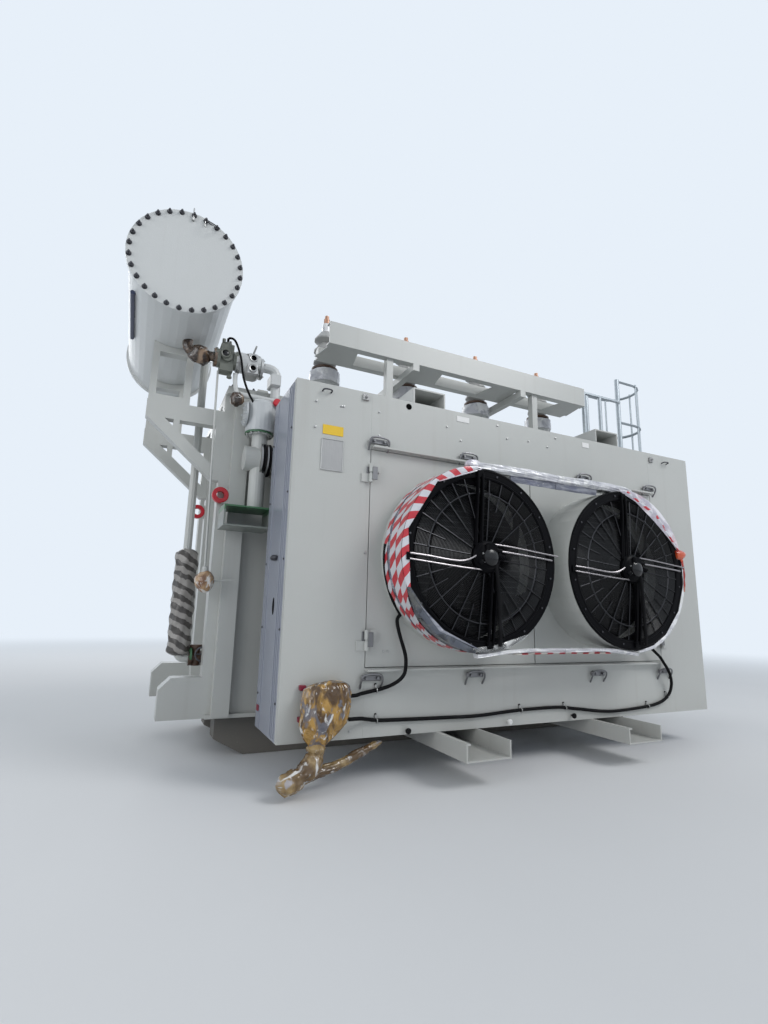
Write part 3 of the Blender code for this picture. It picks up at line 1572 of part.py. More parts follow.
def gantry():
    """Two long beams over the bushings, joined by plates, on cross beams and posts."""
    wall, low, high = GANTRY_WALL, GANTRY_LEVEL, GANTRY_BEAM_HEIGHT
    wide = GANTRY_BEAM_WIDTH / 2
    tube = FRAME_TUBE / 2
    channel = [
        (-wide, 0),
        (wide, 0),
        (wide, wall),
        (-wide + wall, wall),
        (-wide + wall, high - wall),
        (wide, high - wall),
        (wide, high),
        (-wide, high),
    ]
    front_beam = plate("gantry_front_beam", channel, GANTRY_LENGTH, (ROW_SHIFT, -GANTRY_FRONT, low), "side")
    post_y = -TANK_DEPTH / 2 - TANK_FLANGE + tube
    posts = []
    for side in (-1, 1):
        post_x = side * FRAME_SPACING / 2
        posts.append(
            box(
                "front_post",
                (post_x - tube, post_y - tube, COVER_TOP + GAP),
                (post_x + tube, post_y + tube, low + wall / 2),
            )
        )
    weld(front_beam, *posts)
    rear = rectangle((-wide, 0), (wide, high / 2))
    rear_beam = plate("gantry_rear_beam", rear, GANTRY_LENGTH, (ROW_SHIFT, -GANTRY_REAR, low), "side")
    front_edge = -GANTRY_FRONT + wide + GAP
    rear_edge = -GANTRY_REAR - wide + wall
    span = rear_edge - front_edge
    long_share, short_share = PLATE_SHARES
    for i in range(BUSHING_COUNT):
        place = ROW_SHIFT + BUSHING_PITCH * (i - (BUSHING_COUNT - 1) / 2)
        outline = [
            (place - span * long_share, rear_edge),
            (place - span * short_share, front_edge),
            (place + span * short_share, front_edge),
            (place + span * long_share, rear_edge),
        ]
        weld(rear_beam, plate("tie_plate", outline, wall, (0, 0, low + wall / 2), "top"))
    for side in (-1, 1):
        cross_x = ROW_SHIFT + side * CROSS_SPACING / 2
        top = low - GAP
        cross = box(
            f"gantry_cross_{mirrored(side)}",
            (cross_x - tube, -GANTRY_FRONT - wide, top - FRAME_TUBE),
            (cross_x + tube, FRAME_BACK + tube, top),
        )
        post = box(
            "rear_post",
            (cross_x - tube, FRAME_BACK - tube, COVER_TOP + GAP),
            (cross_x + tube, FRAME_BACK + tube, top - tube),
        )
        weld(cross, post)


def ladder():
    """The ladder on the right end wall, its safety cage, and the handrail on the cover."""
    wall = TANK_LENGTH / 2
    plane = wall + TANK_FLANGE + LADDER_STANDOFF
    middle = -LADDER_CENTRE
    rails = [middle - LADDER_WIDTH / 2, middle + LADDER_WIDTH / 2]
    made, other = [
        rod("ladder", (plane, y, LADDER_FOOT), (plane, y, CAGE_TOP), LADDER_RAIL, "galvanised", 12)
        for y in rails
    ]
    pieces = [other]
    rungs = int((TANK_TOP - LADDER_FOOT) / LADDER_PITCH)
    for i in range(rungs):
        z = LADDER_FOOT + LADDER_PITCH * (i + 0.5)
        pieces.append(rod("rung", (plane, rails[0], z), (plane, rails[1], z), RUNG_RADIUS, "galvanised", 8))
    for z in (LADDER_FOOT + LADDER_PITCH, TANK_TOP - LADDER_PITCH):
        for y in rails:
            pieces.append(rod("standoff", (wall + GAP, y, z), (plane, y, z), RUNG_RADIUS, "galvanised", 8))
    weld(made, *pieces)
    inner = plane + LADDER_RAIL + GAP
    centre_x = plane + CAGE_DEPTH - CAGE_RADIUS
    bars = []
    hoops = []
    for i in range(CAGE_HOOPS):
        z = CAGE_TOP - CAGE_PITCH * i - CAGE_HOOP
        arc = circle(CAGE_RADIUS, (centre_x, middle), 8, -math.pi / 2, math.pi)
        path = [(inner, rails[0], z), *[(x, y, z) for x, y in arc], (inner, rails[1], z)]
        hoops.append(pipe_mesh("cage_hoop", path, CAGE_HOOP, "galvanised", 0))
    low = CAGE_TOP - CAGE_PITCH * (CAGE_HOOPS - 1) - 2 * CAGE_HOOP - CAGE_BAR
    for i in range(CAGE_BARS):
        angle = CAGE_SPREAD * (i / (CAGE_BARS - 1) - 1 / 2)
        x = centre_x + CAGE_RADIUS * math.cos(angle)
        y = middle + CAGE_RADIUS * math.sin(angle)
        bars.append(rod("cage_bar", (x, y, low), (x, y, CAGE_TOP + CAGE_BAR), CAGE_BAR, "galvanised", 6))
    cage = hoops[0]
    cage.name = "ladder_cage"
    weld(cage, *hoops[1:], *bars)
    rail_y = rails[0] - 2 * HANDRAIL_RADIUS
    start = TANK_LENGTH / 2 - HANDRAIL_LENGTH
    top = COVER_TOP + HANDRAIL_HEIGHT
    rail = pipe_mesh(
        "handrail",
        rounded_path(
            [
                (start, rail_y, COVER_TOP + GAP),
                (start, rail_y, top),
                (plane - LADDER_RAIL - GAP, rail_y, top),
            ],
            HANDRAIL_RADIUS * PIPE_BEND_SHARE,
        ),
        HANDRAIL_RADIUS,
        "galvanised",
        1,
    )
    second = rod(
        "second_post",
        (start + HANDRAIL_POST_PITCH, rail_y, COVER_TOP + GAP),
        (start + HANDRAIL_POST_PITCH, rail_y, top),
        HANDRAIL_RADIUS,
        "galvanised",
        8,
    )
    weld(rail, second)


def main():
    """Builds every sub-part."""
    base_frame()
    tank()
    tank_cover()
    casing()
    core()
    band("cooler_top_band", DOOR_HIGH, COOLER_TOP, DOOR_HIGH + DOOR_CLEARANCE)
    band("cooler_bottom_band", BASE_HEIGHT, DOOR_LOW, DOOR_LOW - LEDGE_THICKNESS - DOOR_CLEARANCE)
    terminal_box()
    wrapped_tail()
    leads = cables()
    conservator()
    outlet()
    gas_relay()
    relay_pipe()
    breather()
    filler_pipe()
    drain_valve()
    inlet_valve()
    inlet_elbow()
    inlet_bellows()
    core_pipes()
    side_bracket()
    bushings()
    gantry()
    ladder()
    conservator_bracket("conservator_bracket_front", -BRACKET_FRONT)
    conservator_bracket("conservator_bracket_rear", END_STIFFENER_MIDDLE)
    for side in (-1, 1):
        side_panel(side)
        lower_arm(side)
        upper_arm(side)
        hinge = empty(f"{mirrored(side)}_door_hinge", (side * SEAM, HINGE_LINE, FAN_LEVEL))
        spin = empty(f"{mirrored(side)}_fan_axis", fan_place(side))
        made = [door(side), shroud(side), guard(side), motor(side), tape(side)]
        hang_on(hinge, *made, leads[f"{mirrored(side)}_cable_lead"], spin)
        hang_on(spin, rotor(side))


clear_scene()
PARTS = new_collection("power_transformer")
GUIDES = new_collection("guides")
main()
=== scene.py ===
"""The looks of a power transformer with an oil cooler on one long side.

Metres, in the frame of the solids: +Z up, +X along the tank, and the two fans face -Y.
"""

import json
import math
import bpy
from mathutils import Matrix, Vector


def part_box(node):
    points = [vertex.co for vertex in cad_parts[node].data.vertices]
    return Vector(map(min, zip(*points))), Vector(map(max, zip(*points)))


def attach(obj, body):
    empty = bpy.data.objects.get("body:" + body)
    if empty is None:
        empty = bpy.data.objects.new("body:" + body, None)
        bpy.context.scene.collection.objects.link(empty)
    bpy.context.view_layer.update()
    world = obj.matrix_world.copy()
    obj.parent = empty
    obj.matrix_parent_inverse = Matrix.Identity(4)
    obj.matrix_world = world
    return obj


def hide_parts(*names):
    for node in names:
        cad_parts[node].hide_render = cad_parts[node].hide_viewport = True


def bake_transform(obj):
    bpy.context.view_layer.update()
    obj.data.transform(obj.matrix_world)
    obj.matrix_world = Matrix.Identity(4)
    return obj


bl_info = {
    "name": "Power Transformer Dressing",
    "version": (1, 0, 0),
    "blender": (4, 5, 0),
    "location": "View3D > Sidebar > Transformer",
    "description": "Finishes, fine parts, packing and a studio for a power transformer",
    "category": "Object",
}

import bmesh
import bpy
import numpy as np
from bpy.props import FloatProperty, FloatVectorProperty, IntProperty, PointerProperty
from mathutils import Matrix

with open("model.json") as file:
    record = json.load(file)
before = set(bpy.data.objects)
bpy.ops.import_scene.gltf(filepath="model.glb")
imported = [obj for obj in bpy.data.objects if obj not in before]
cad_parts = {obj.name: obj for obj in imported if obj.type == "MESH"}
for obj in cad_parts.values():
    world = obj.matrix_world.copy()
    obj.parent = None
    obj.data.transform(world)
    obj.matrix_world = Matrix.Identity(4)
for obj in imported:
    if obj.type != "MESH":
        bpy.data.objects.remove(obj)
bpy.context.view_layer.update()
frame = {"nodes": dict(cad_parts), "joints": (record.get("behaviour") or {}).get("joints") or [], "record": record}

TURN = 2 * math.pi
OUT = (0, -1, 0)
UP = (0, 0, 1)
LEFT = (-1, 0, 0)
SIDES = {"left": -1, "right": 1}
PANEL_FRONT = -1.45
COOLER_CORNER = np.array((-1.78, PANEL_FRONT, 0.25))
# Places on the cooler's front, as right and up from its lower left corner.
TAIL_ROUTE = [
    (0.20, 0.07, 0.0187), (0.20, 0.07, -0.022), (0.193, 0.075, -0.06), (0.16, 0.095, -0.105),
    (0.09, 0.105, -0.15), (0.02, 0.11, -0.175), (-0.02, 0.11, -0.183),
]
TAIL_RETURN = [
    (0.0, 0.10, -0.182), (0.05, 0.078, -0.182), (0.11, 0.05, -0.174), (0.22, 0.03, -0.152),
    (0.35, 0.01, -0.128),
    (0.48, -0.01, -0.086), (0.58, -0.03, -0.055), (0.65, -0.05, -0.038),
]
CABLE_ROUTES = {
    "left": [
        (0.7176, 0.03, 0.6977), (0.702, 0.03, 0.685), (0.693, 0.033, 0.66), (0.698, 0.042, 0.61),
        (0.716, 0.052, 0.54), (0.735, 0.06, 0.475), (0.741, 0.064, 0.43), (0.738, 0.065, 0.38),
        (0.73, 0.062, 0.35), (0.705, 0.052, 0.318), (0.66, 0.035, 0.289), (0.60, 0.022, 0.268),
        (0.53, 0.02, 0.256), (0.47, 0.035, 0.249), (0.43, 0.062, 0.2455), (0.405, 0.07, 0.245),
        (0.3829, 0.07, 0.245),
    ],
    "right": [
        (2.7643, 0.03, 0.6196), (2.777, 0.03, 0.604), (2.808, 0.034, 0.568), (2.87, 0.045, 0.505),
        (2.925, 0.055, 0.455), (2.96, 0.062, 0.423), (2.992, 0.066, 0.38), (3.025, 0.063, 0.345),
        (3.065, 0.057, 0.29), (3.09, 0.045, 0.22), (3.08, 0.03, 0.15), (3.03, 0.018, 0.10),
        (2.94, 0.015, 0.072), (2.82, 0.015, 0.058), (2.57, 0.015, 0.045), (2.39, 0.015, 0.048),
        (2.12, 0.015, 0.079), (1.95, 0.015, 0.097), (1.63, 0.015, 0.096), (1.30, 0.015, 0.08),
        (1.06, 0.015, 0.082), (0.81, 0.015, 0.087), (0.60, 0.015, 0.093), (0.52, 0.024, 0.105),
        (0.475, 0.048, 0.115), (0.44, 0.0685, 0.1205), (0.403, 0.07, 0.1205), (0.3829, 0.07, 0.1205),
    ],
}
CLIPS = [(0.572, 0.262), (0.577, 0.094), (1.631, 0.096), (2.017, 0.091), (2.844, 0.060), (3.063, 0.122)]
HINGE_HEIGHTS = (1.56, 0.55)
CLAMPS = [
    (0.55, 1.775), (1.23, 1.775), (2.30, 1.775), (3.03, 1.775), (0.54, 0.33), (1.27, 0.33), (2.35, 0.31),
    (3.06, 0.31),
]
SCREWS = [
    (0.127, 1.807), (0.127, 1.973), (0.292, 1.97), (0.308, 1.972), (0.556, 1.821), (0.553, 1.982),
    (0.475, 1.55),
    (0.481, 1.062), (1.178, 1.893), (1.068, 1.974), (1.496, 2.058), (1.581, 1.974), (1.779, 1.987),
    (1.961, 1.971),
    (2.045, 2.056), (0.62, 0.48), (0.65, 0.48), (0.15, 0.04), (0.42, 0.04),
]
KNOBS = [(0.782, 0.024, "black sheath"), (1.53, 0.03, "white sheet"), (2.087, 0.036, "black sheath")]
PLATES = [
    ("yellow_label", 0.176, 0.310, 1.772, 1.833, "yellow sheet"),
    ("rating_plate", 0.174, 0.312, 1.548, 1.743, "plate metal"),
    ("left_white_label", 1.148, 1.25, 2.03, 2.07, "white sheet"),
    ("right_white_label", 2.32, 2.39, 2.03, 2.07, "white sheet"),
]
# The fan hubs' front faces, just behind the motors.
HUB_FRONT = -1.6397
# The guard's lip stands this far before the shroud's edge.
GUARD_PROUD = 0.014
# The red collars are a little deeper than the hauling eyes' plates.
EYE_COLLAR = 0.042
# The middle of the inlet elbow's level run, above the ground.
ELBOW_LEVEL = 1.99
# The tank cover's own thickness, under the parts that stand on it.
COVER_THICK = 0.03
# Lugs, bow handles and the top band's hole, as right and up from the cooler's lower left corner.
LUGS = [(0.455, 2.062), (3.10, 2.04)]
BOWS = [(0.192, 2.046), (3.268, 2.031)]
BAND_HOLE = (0.769, 2.062)
# The wrapped tips stand this much over the bushings' bare ends.
TIP_RISE = 0.048
FINISH = {}


def unit(way):
    """A direction, or rows of them, at length one."""
    way = np.asarray(way, float)
    return way / np.linalg.norm(way, axis=-1, keepdims=True)


def across(axis):
    """Two unit directions square to an axis and to each other."""
    axis = unit(axis)
    spare = np.eye(3)[np.argmin(np.abs(axis), axis=-1)]
    first = unit(np.cross(axis, spare))
    return first, np.cross(axis, first)


def surface(points, round_u=False, round_v=False, capped=False):
    """Quads between a grid's neighbouring points, closed round either way, its ends filled if asked."""
    rows, columns = points.shape[:2]
    index = np.arange(rows * columns).reshape(rows, columns)
    grid = np.vstack([index, index[:1]]) if round_u else index
    grid = np.hstack([grid, grid[:, :1]]) if round_v else grid
    quads = np.stack([grid[:-1, :-1], grid[:-1, 1:], grid[1:, 1:], grid[1:, :-1]], -1)
    faces = [quads.reshape(-1, 4)]
    if capped:
        faces += [index[:1, ::-1], index[-1:]]
    return points.reshape(-1, 3), faces


def turned(profile, centre, axis=UP, sides=24, hollow=False):
    """A profile of (radius, way along) turned about an axis: centre + along * axis + radius * (cos, sin)."""
    radius, along = np.array(profile, float).T
    first, second = across(axis)
    angle = np.linspace(0, TURN, sides, endpoint=False)[:, None]
    spoke = np.cos(angle) * first + np.sin(angle) * second
    points = np.asarray(centre) + along[:, None, None] * unit(axis) + radius[:, None, None] * spoke
    return surface(points, round_u=hollow, round_v=True, capped=not hollow)


def tube(path, radius, sides=10, closed=False):
    """A round tube: each point of a path plus radius * (cos, sin) in the plane square to the path there.

    The radius is one number, one for each point, or rows of one for each side.
    """
    path = np.asarray(path, float)
    if closed:
        way = unit(np.roll(path, -1, 0) - np.roll(path, 1, 0))
    else:
        way = unit(np.gradient(path, axis=0))
    first = unit(np.cross(way, np.eye(3)[np.argmin(np.abs(way).max(0))]))
    second = np.cross(way, first)
    angle = np.linspace(0, TURN, sides, endpoint=False)[:, None]
    radius = np.asarray(radius, float)
    reach = np.broadcast_to(
        radius if radius.ndim > 1 else radius.reshape(-1, 1), (len(path), sides)
    )[..., None]
    points = path[:, None] + reach * (np.cos(angle) * first[:, None] + np.sin(angle) * second[:, None])
    return surface(points, round_u=closed, round_v=True, capped=not closed)


def rod(start, end, radius, sides=10):
    """A straight round bar between two points."""
    return tube([start, end], radius, sides)


def block(low, high, edge=0.002):
    """A box with chamfered edges: an eight-sided outline stacked at four heights, drawn in at both ends."""
    low, high = np.minimum(low, high), np.maximum(low, high)
    half = (high - low) / 2
    edge = min(edge, *(half / 2))
    sign = np.array([(1, -1), (1, -1), (1, 1), (1, 1), (-1, 1), (-1, 1), (-1, -1), (-1, -1)])
    drawn = edge * np.array([(1, 0), (0, 1), (0, 1), (1, 0), (1, 0), (0, 1), (0, 1), (1, 0)])
    inset = edge * np.array([1, 0, 0, 1])[:, None, None]
    flat = sign * (half[:2] - drawn - inset)
    height = np.array([-half[2], edge - half[2], half[2] - edge, half[2]])
    points = np.concatenate([flat, np.broadcast_to(height[:, None, None], (4, 8, 1))], -1)
    return surface(points + (low + high) / 2, round_v=True, capped=True)


def prism(outline, origin, right, up, depth):
    """A flat outline, laid out along two directions from an origin, carried both ways square to them."""
    outline = np.asarray(outline, float)
    flat = np.asarray(origin) + outline[:, :1] * np.asarray(right) + outline[:, 1:] * np.asarray(up)
    normal = np.cross(right, up) * depth / 2
    return surface(np.stack([flat - normal, flat + normal]), round_v=True, capped=True)


def many(part, places):
    """One shape repeated at each of the places, which are 4 by 4 matrices."""
    points, faces = part
    placed = np.einsum("kij,nj->kni", places[:, :3, :3], points) + places[:, None, :3, 3]
    step = (np.arange(len(places)) * len(points))[:, None, None]
    return placed.reshape(-1, 3), [(f[None] + step).reshape(-1, f.shape[1]) for f in faces]


def stand(points, axis):
    """Places that set a shape's +Z along an axis, or along each of the axes, at the points."""
    points = np.atleast_2d(np.asarray(points, float))
    axis = unit(np.broadcast_to(axis, points.shape))
    first, second = across(axis)
    places = np.tile(np.eye(4), (len(points), 1, 1))
    places[:, :3, :3] = np.stack([first, second, axis], -1)
    places[:, :3, 3] = points
    return places


def circle(centre, axis, radius, count, start=0.0, sweep=TURN):
    """Points evenly round a circle from a level direction, and the directions out from its middle."""
    axis = unit(axis)
    level = unit(np.cross(axis, UP)) if abs(axis[2]) < 0.9 else np.array((1.0, 0, 0))
    angle = (start + sweep * np.arange(count) / count)[:, None]
    way = np.cos(angle) * level + np.sin(angle) * np.cross(level, axis)
    return np.asarray(centre) + radius * way, way


def smooth_path(route, step=0.01):
    """Points a step apart on the smooth cubic through a route's points."""
    route = np.asarray(route, float)
    a = np.vstack([2 * route[0] - route[1], route[:-2], route[-2]])[: len(route) - 1]
    b, c = route[:-1], route[1:]
    d = np.vstack([route[2:], 2 * route[-1] - route[-2]])
    t = np.linspace(0, 1, 20, endpoint=False)[:, None, None]
    bend = 2 * b + (c - a) * t + (2 * a - 5 * b + 4 * c - d) * t**2 + (3 * b - a - 3 * c + d) * t**3
    dense = np.vstack([np.swapaxes(bend / 2, 0, 1).reshape(-1, 3), route[-1:]])
    run = np.concatenate([[0], np.cumsum(np.linalg.norm(np.diff(dense, axis=0), axis=1))])
    wanted = np.linspace(0, run[-1], max(int(run[-1] / step), 8))
    return np.stack([np.interp(wanted, run, dense[:, k]) for k in range(3)], -1)


def from_corner(route):
    """Points given as right, out and up from the cooler's front lower left corner."""
    return COOLER_CORNER + np.asarray(route, float) * (1, -1, 1)


def bolt(radius, height=None, stud=0.5):
    """A bolt head with a washer under it and a stud end over it, its foot at the origin."""
    height = height or radius * 1.1
    washer = turned([(radius * 1.35, 0), (radius * 1.35, height * 0.2)], (0, 0, 0), UP, 10)
    head = turned(
        [(radius, height * 0.2), (radius, height), (radius * 0.8, height * 1.12)], (0, 0, 0), UP, 6
    )
    tip = turned([(radius * 0.5, height), (radius * 0.5, height * (1.12 + stud))], (0, 0, 0), UP, 6)
    return together(washer, head, tip)


def together(*parts):
    """Several shapes as one."""
    points, faces, start = [], [], 0
    for found, rows in parts:
        points.append(found)
        faces += [f + start for f in rows]
        start += len(found)
    return np.vstack(points), faces


def lump(centre, half, amount=0.004, scale=40, seed=0):
    """A crumpled ball: a sphere stretched to half sizes, its points moved by sine waves."""
    turn = np.linspace(0.02, math.pi - 0.02, 20)
    points, faces = turned(np.stack([np.sin(turn), -np.cos(turn)], -1), (0, 0, 0), UP, 32)
    return swell((points * half + np.asarray(centre), faces), amount, scale, seed)


def plain_flange(centre, axis, radius, thick, count):
    """A disc with a ring of bolts on the side that its axis points to."""
    disc = turned([(radius, 0), (radius, thick)], centre, axis, 40)
    spots = circle(np.asarray(centre) + thick * unit(axis), axis, radius * 0.8, count, 0.2)[0]
    return together(disc, many(bolt(radius * 0.1, radius * 0.1, 0.6), stand(spots, axis)))


def swell(part, amount, scale, seed=0):
    """A shape whose points move by a sum of sine waves of their own place, as crumpled film does."""
    points, faces = part
    draw = np.random.default_rng(seed)
    shift = np.zeros_like(points)
    for octave in range(4):
        waves = draw.normal(size=(3, 3)) * scale * 1.9**octave
        phase = draw.uniform(0, TURN, 3)
        shift += np.sin(points @ waves + phase) * 0.6**octave
    return points + amount * shift / 2, faces


def piece(name, part, body, finish, stands_for=(), run=None, smooth=35, levels=0):
    """A mesh object from a shape, with a finish, riding on a body. run is a pattern place for each point."""
    points, faces = part
    mesh = bpy.data.meshes.new(name)
    mesh.from_pydata(points.tolist(), [], [row for f in faces for row in f.tolist()])
    if run is not None:
        pattern = mesh.attributes.new("run", "FLOAT_VECTOR", "POINT")
        pattern.data.foreach_set("vector", np.ascontiguousarray(run, np.float32).ravel())
    shape = bmesh.new()
    shape.from_mesh(mesh)
    bmesh.ops.recalc_face_normals(shape, faces=shape.faces)
    shape.to_mesh(mesh)
    shape.free()
    mesh.shade_smooth()
    if smooth < 180:
        mesh.set_sharp_from_angle(angle=math.radians(smooth))
    made = bpy.data.objects.new(name, mesh)
    bpy.context.scene.collection.objects.link(made)
    mesh.materials.append(FINISH[finish])
    if levels:
        subdivide = made.modifiers.new("Soft", "SUBSURF")
        subdivide.levels = subdivide.render_levels = levels
    if body:
        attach(made, body)
    if stands_for:
        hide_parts(*stands_for)
    return made


class Value:
    """A socket of a material. Arithmetic on it adds Math nodes."""

    def __init__(self, shader, socket):
        self.shader, self.socket = shader, socket

    def maths(self, operation, *others):
        """A Math node on this value and others."""
        inputs = dict(enumerate((self, *others)))
        return self.shader.node("ShaderNodeMath", {"operation": operation}, inputs)

    def after(self, operation, first):
        """A Math node in which this value comes second."""
        return self.shader.node("ShaderNodeMath", {"operation": operation}, {0: first, 1: self})

    def __add__(self, other):
        return self.maths("ADD", other)

    def __sub__(self, other):
        return self.maths("SUBTRACT", other)

    def __mul__(self, other):
        return self.maths("MULTIPLY", other)

    def __truediv__(self, other):
        return self.maths("DIVIDE", other)

    def __rsub__(self, other):
        return self.after("SUBTRACT", other)

    __radd__ = __add__

    def clipped(self):
        """The value held between nought and one."""
        return self.shader.node("ShaderNodeClamp", {}, {0: self})

    def rising(self, low, high):
        """Nought under low, one over high, and a smooth rise between."""
        ends = {0: self, 1: low, 2: high}
        return self.shader.node("ShaderNodeMapRange", {"interpolation_type": "SMOOTHSTEP"}, ends)


class Shader:
    """A material with a Principled surface, and the nodes that drive it."""

    def __init__(self, name, roughness=0.5, metallic=0.0, **settings):
        self.material = bpy.data.materials.new(name)
        self.material.use_nodes = True
        self.tree = self.material.node_tree
        self.skin = self.tree.nodes["Principled BSDF"]
        self.set("Roughness", roughness)
        self.set("Metallic", metallic)
        for key, value in settings.items():
            self.set(key.replace("_", " ").title().replace("Ior", "IOR"), value)
        self.place = self.node("ShaderNodeTexCoord", output="Object")
        FINISH[name] = self.material

    def node(self, kind, settings=None, inputs=None, output=0):
        """A node with its settings and its sockets' values or links, as the value of one output."""
        made = self.tree.nodes.new(kind)
        for key, value in (settings or {}).items():
            setattr(made, key, value)
        for key, value in (inputs or {}).items():
            if isinstance(value, Value):
                self.tree.links.new(value.socket, made.inputs[key])
            else:
                made.inputs[key].default_value = value
        return Value(self, made.outputs[output])

    def set(self, name, value):
        """A value or a link for one of the surface's sockets."""
        if isinstance(value, Value):
            self.tree.links.new(value.socket, self.skin.inputs[name])
        elif name == "Base Color":
            self.skin.inputs[name].default_value = (*value, 1)
        else:
            self.skin.inputs[name].default_value = value

    def stretched(self, stretch):
        """The pattern place, stretched along each axis."""
        inputs = {"Vector": self.place, "Scale": stretch}
        return self.node("ShaderNodeMapping", {}, inputs)

    def noise(self, scale, detail=3.0, stretch=(1, 1, 1), twist=0.0):
        """Soft cloudy noise from nought to one, drawn into curls by a twist."""
        inputs = {"Vector": self.stretched(stretch), "Scale": scale, "Detail": detail, "Distortion": twist}
        return self.node("ShaderNodeTexNoise", {}, inputs)

    def creases(self, scale, stretch=(1, 1, 1)):
        """Sharp winding creases, as crumpled film has."""
        inputs = {"Vector": self.stretched(stretch), "Scale": scale, "Detail": 4.0, "Distortion": 0.7}
        return self.node("ShaderNodeTexNoise", {"noise_type": "RIDGED_MULTIFRACTAL"}, inputs).clipped()

    def part_of_place(self, axis, source=None):
        """One coordinate of the pattern place."""
        return self.node("ShaderNodeSeparateXYZ", {}, {0: source or self.place}, axis)

    def mix(self, share, first, second):
        """A colour between two, by a share."""
        first, second = ((*c, 1) if isinstance(c, tuple) else c for c in (first, second))
        return self.node("ShaderNodeMix", {"data_type": "RGBA"}, {0: share, 6: first, 7: second}, 2)

    def bump(self, height, distance, strength=1.0):
        """Raises the surface by a height."""
        inputs = {"Height": height, "Distance": distance, "Strength": strength}
        self.set("Normal", self.node("ShaderNodeBump", {}, inputs))


def shade(colour, share):
    """A colour made darker or lighter by a share."""
    return tuple(min(c * share, 1.0) for c in colour)


def painted(name, colour, roughness=0.38, mottle=0.06, grime=0.35, ground=0.5):
    """Paint on steel: faint clouds, vertical runs, dust that thickens near the ground, orange peel."""
    s = Shader(name, coat_weight=0.12, coat_roughness=0.2)
    clouds = s.noise(1.1, 4)
    runs = s.noise(1.0, 4, (16, 16, 0.7))
    grain = s.noise(70, 2)
    height = s.part_of_place("Z")
    low = 1 - height.rising(0.0, ground)
    dust = (low * 0.6 + runs.rising(0.55, 0.8) * 0.3 + grain.rising(0.62, 0.75) * 0.1) * grime
    paint = s.mix(clouds, shade(colour, 1 - mottle), shade(colour, 1 + mottle))
    s.set("Base Color", s.mix(dust.clipped(), paint, (0.30, 0.27, 0.23)))
    s.set("Roughness", (roughness + (clouds - 0.5) * 0.12 + dust * 0.5).clipped())
    s.bump(s.noise(160, 2) + clouds * 1.5, 0.0006)
    return s


def metal(name, colour, roughness=0.35, metallic=0.9, spangle=0.2, grain=(1, 1, 1)):
    """Bare or zinc-coated metal: cell-like spangle, a grain along one way, dull patches."""
    s = Shader(name, metallic=metallic)
    cells = s.node("ShaderNodeTexVoronoi", {}, {"Vector": s.place, "Scale": 45.0}, "Color")
    cell = s.node("ShaderNodeSeparateColor", {}, {0: cells})
    dull = s.noise(2.2, 5)
    lines = s.noise(6, 3, grain)
    tone = cell * spangle + lines * 0.25 + dull * 0.3
    s.set("Base Color", s.mix(tone.clipped(), shade(colour, 0.72), shade(colour, 1.15)))
    s.set("Roughness", (roughness + (dull - 0.5) * 0.3 + cell * 0.08).clipped())
    s.bump(lines + cell * 0.3, 0.0005)
    return s


def satin_black(name, colour=(0.004, 0.004, 0.005), roughness=0.3, dusty=0.04, shine=0.05):
    """Black coating or moulded plastic: low shine, a little dust in its hollows."""
    s = Shader(name, specular_ior_level=shine)
    dust = s.noise(5, 5).rising(0.5, 0.8)
    fine = s.noise(120, 2)
    s.set("Base Color", s.mix(dust * dusty, colour, (0.05, 0.05, 0.052)))
    s.set("Roughness", roughness + dust * 0.2 + fine * 0.08)
    s.bump(fine, 0.0004)
    return s


def film(
    name, colour, second, seen=(0.10, 0.115, 0.15), share=0.75, lit=0.62, scale=9.0, streak=(1, 1, 1),
    alpha=1.0
):
    """Crumpled shiny film: two tones in curling streaks, see-through patches, and white streaks of painted
    highlight.
    """
    s = Shader(name, coat_weight=0.6, coat_roughness=0.06, ior=1.45)
    tone = s.noise(scale * 0.5, 4, streak, twist=1.4).rising(0.40, 0.62)
    patch = s.noise(scale * 0.4, 3, streak, twist=2.0).rising(0.55, 0.62)
    # Painted highlight: white streaks where a noise passes the lit level, standing for glints on the folds.
    painted_highlight = s.noise(scale * 0.7, 5, streak, twist=2.4).rising(lit, lit + 0.10)
    skin = s.mix(patch * share, s.mix(tone, colour, second), seen)
    s.set("Base Color", s.mix(painted_highlight * 0.85, skin, (0.80, 0.80, 0.79)))
    s.set("Roughness", 0.12 + tone * 0.2)
    s.bump(s.creases(scale, streak) + s.creases(scale * 2.7) * 0.4, 0.010, 0.75)
    if alpha < 1:
        s.set("Alpha", (alpha + painted_highlight * 0.6 + s.creases(scale * 1.7).rising(0.6, 0.95) * 0.6).clipped())
    return s


def banded(name, colours, pitch, axis="X", slant=0.0):
    """Wrapped or ribbed goods in bands of two colours, whose edges wander."""
    s = Shader(name, coat_weight=0.3, coat_roughness=0.15)
    place = s.part_of_place(axis) + s.part_of_place("X" if axis == "Z" else "Z") * slant
    wander = s.noise(9, 4, twist=1.0)
    band = ((place + (wander - 0.5) * pitch * 0.9) / pitch).maths("FRACT")
    first = band.rising(0.42, 0.5) * (1 - band.rising(0.92, 1.0))
    s.set("Base Color", s.mix((first * 0.8 + wander * 0.25).clipped(), colours[0], colours[1]))
    s.set("Roughness", 0.3 + wander * 0.3)
    s.bump(first * 0.6 + wander, 0.004)
    return s


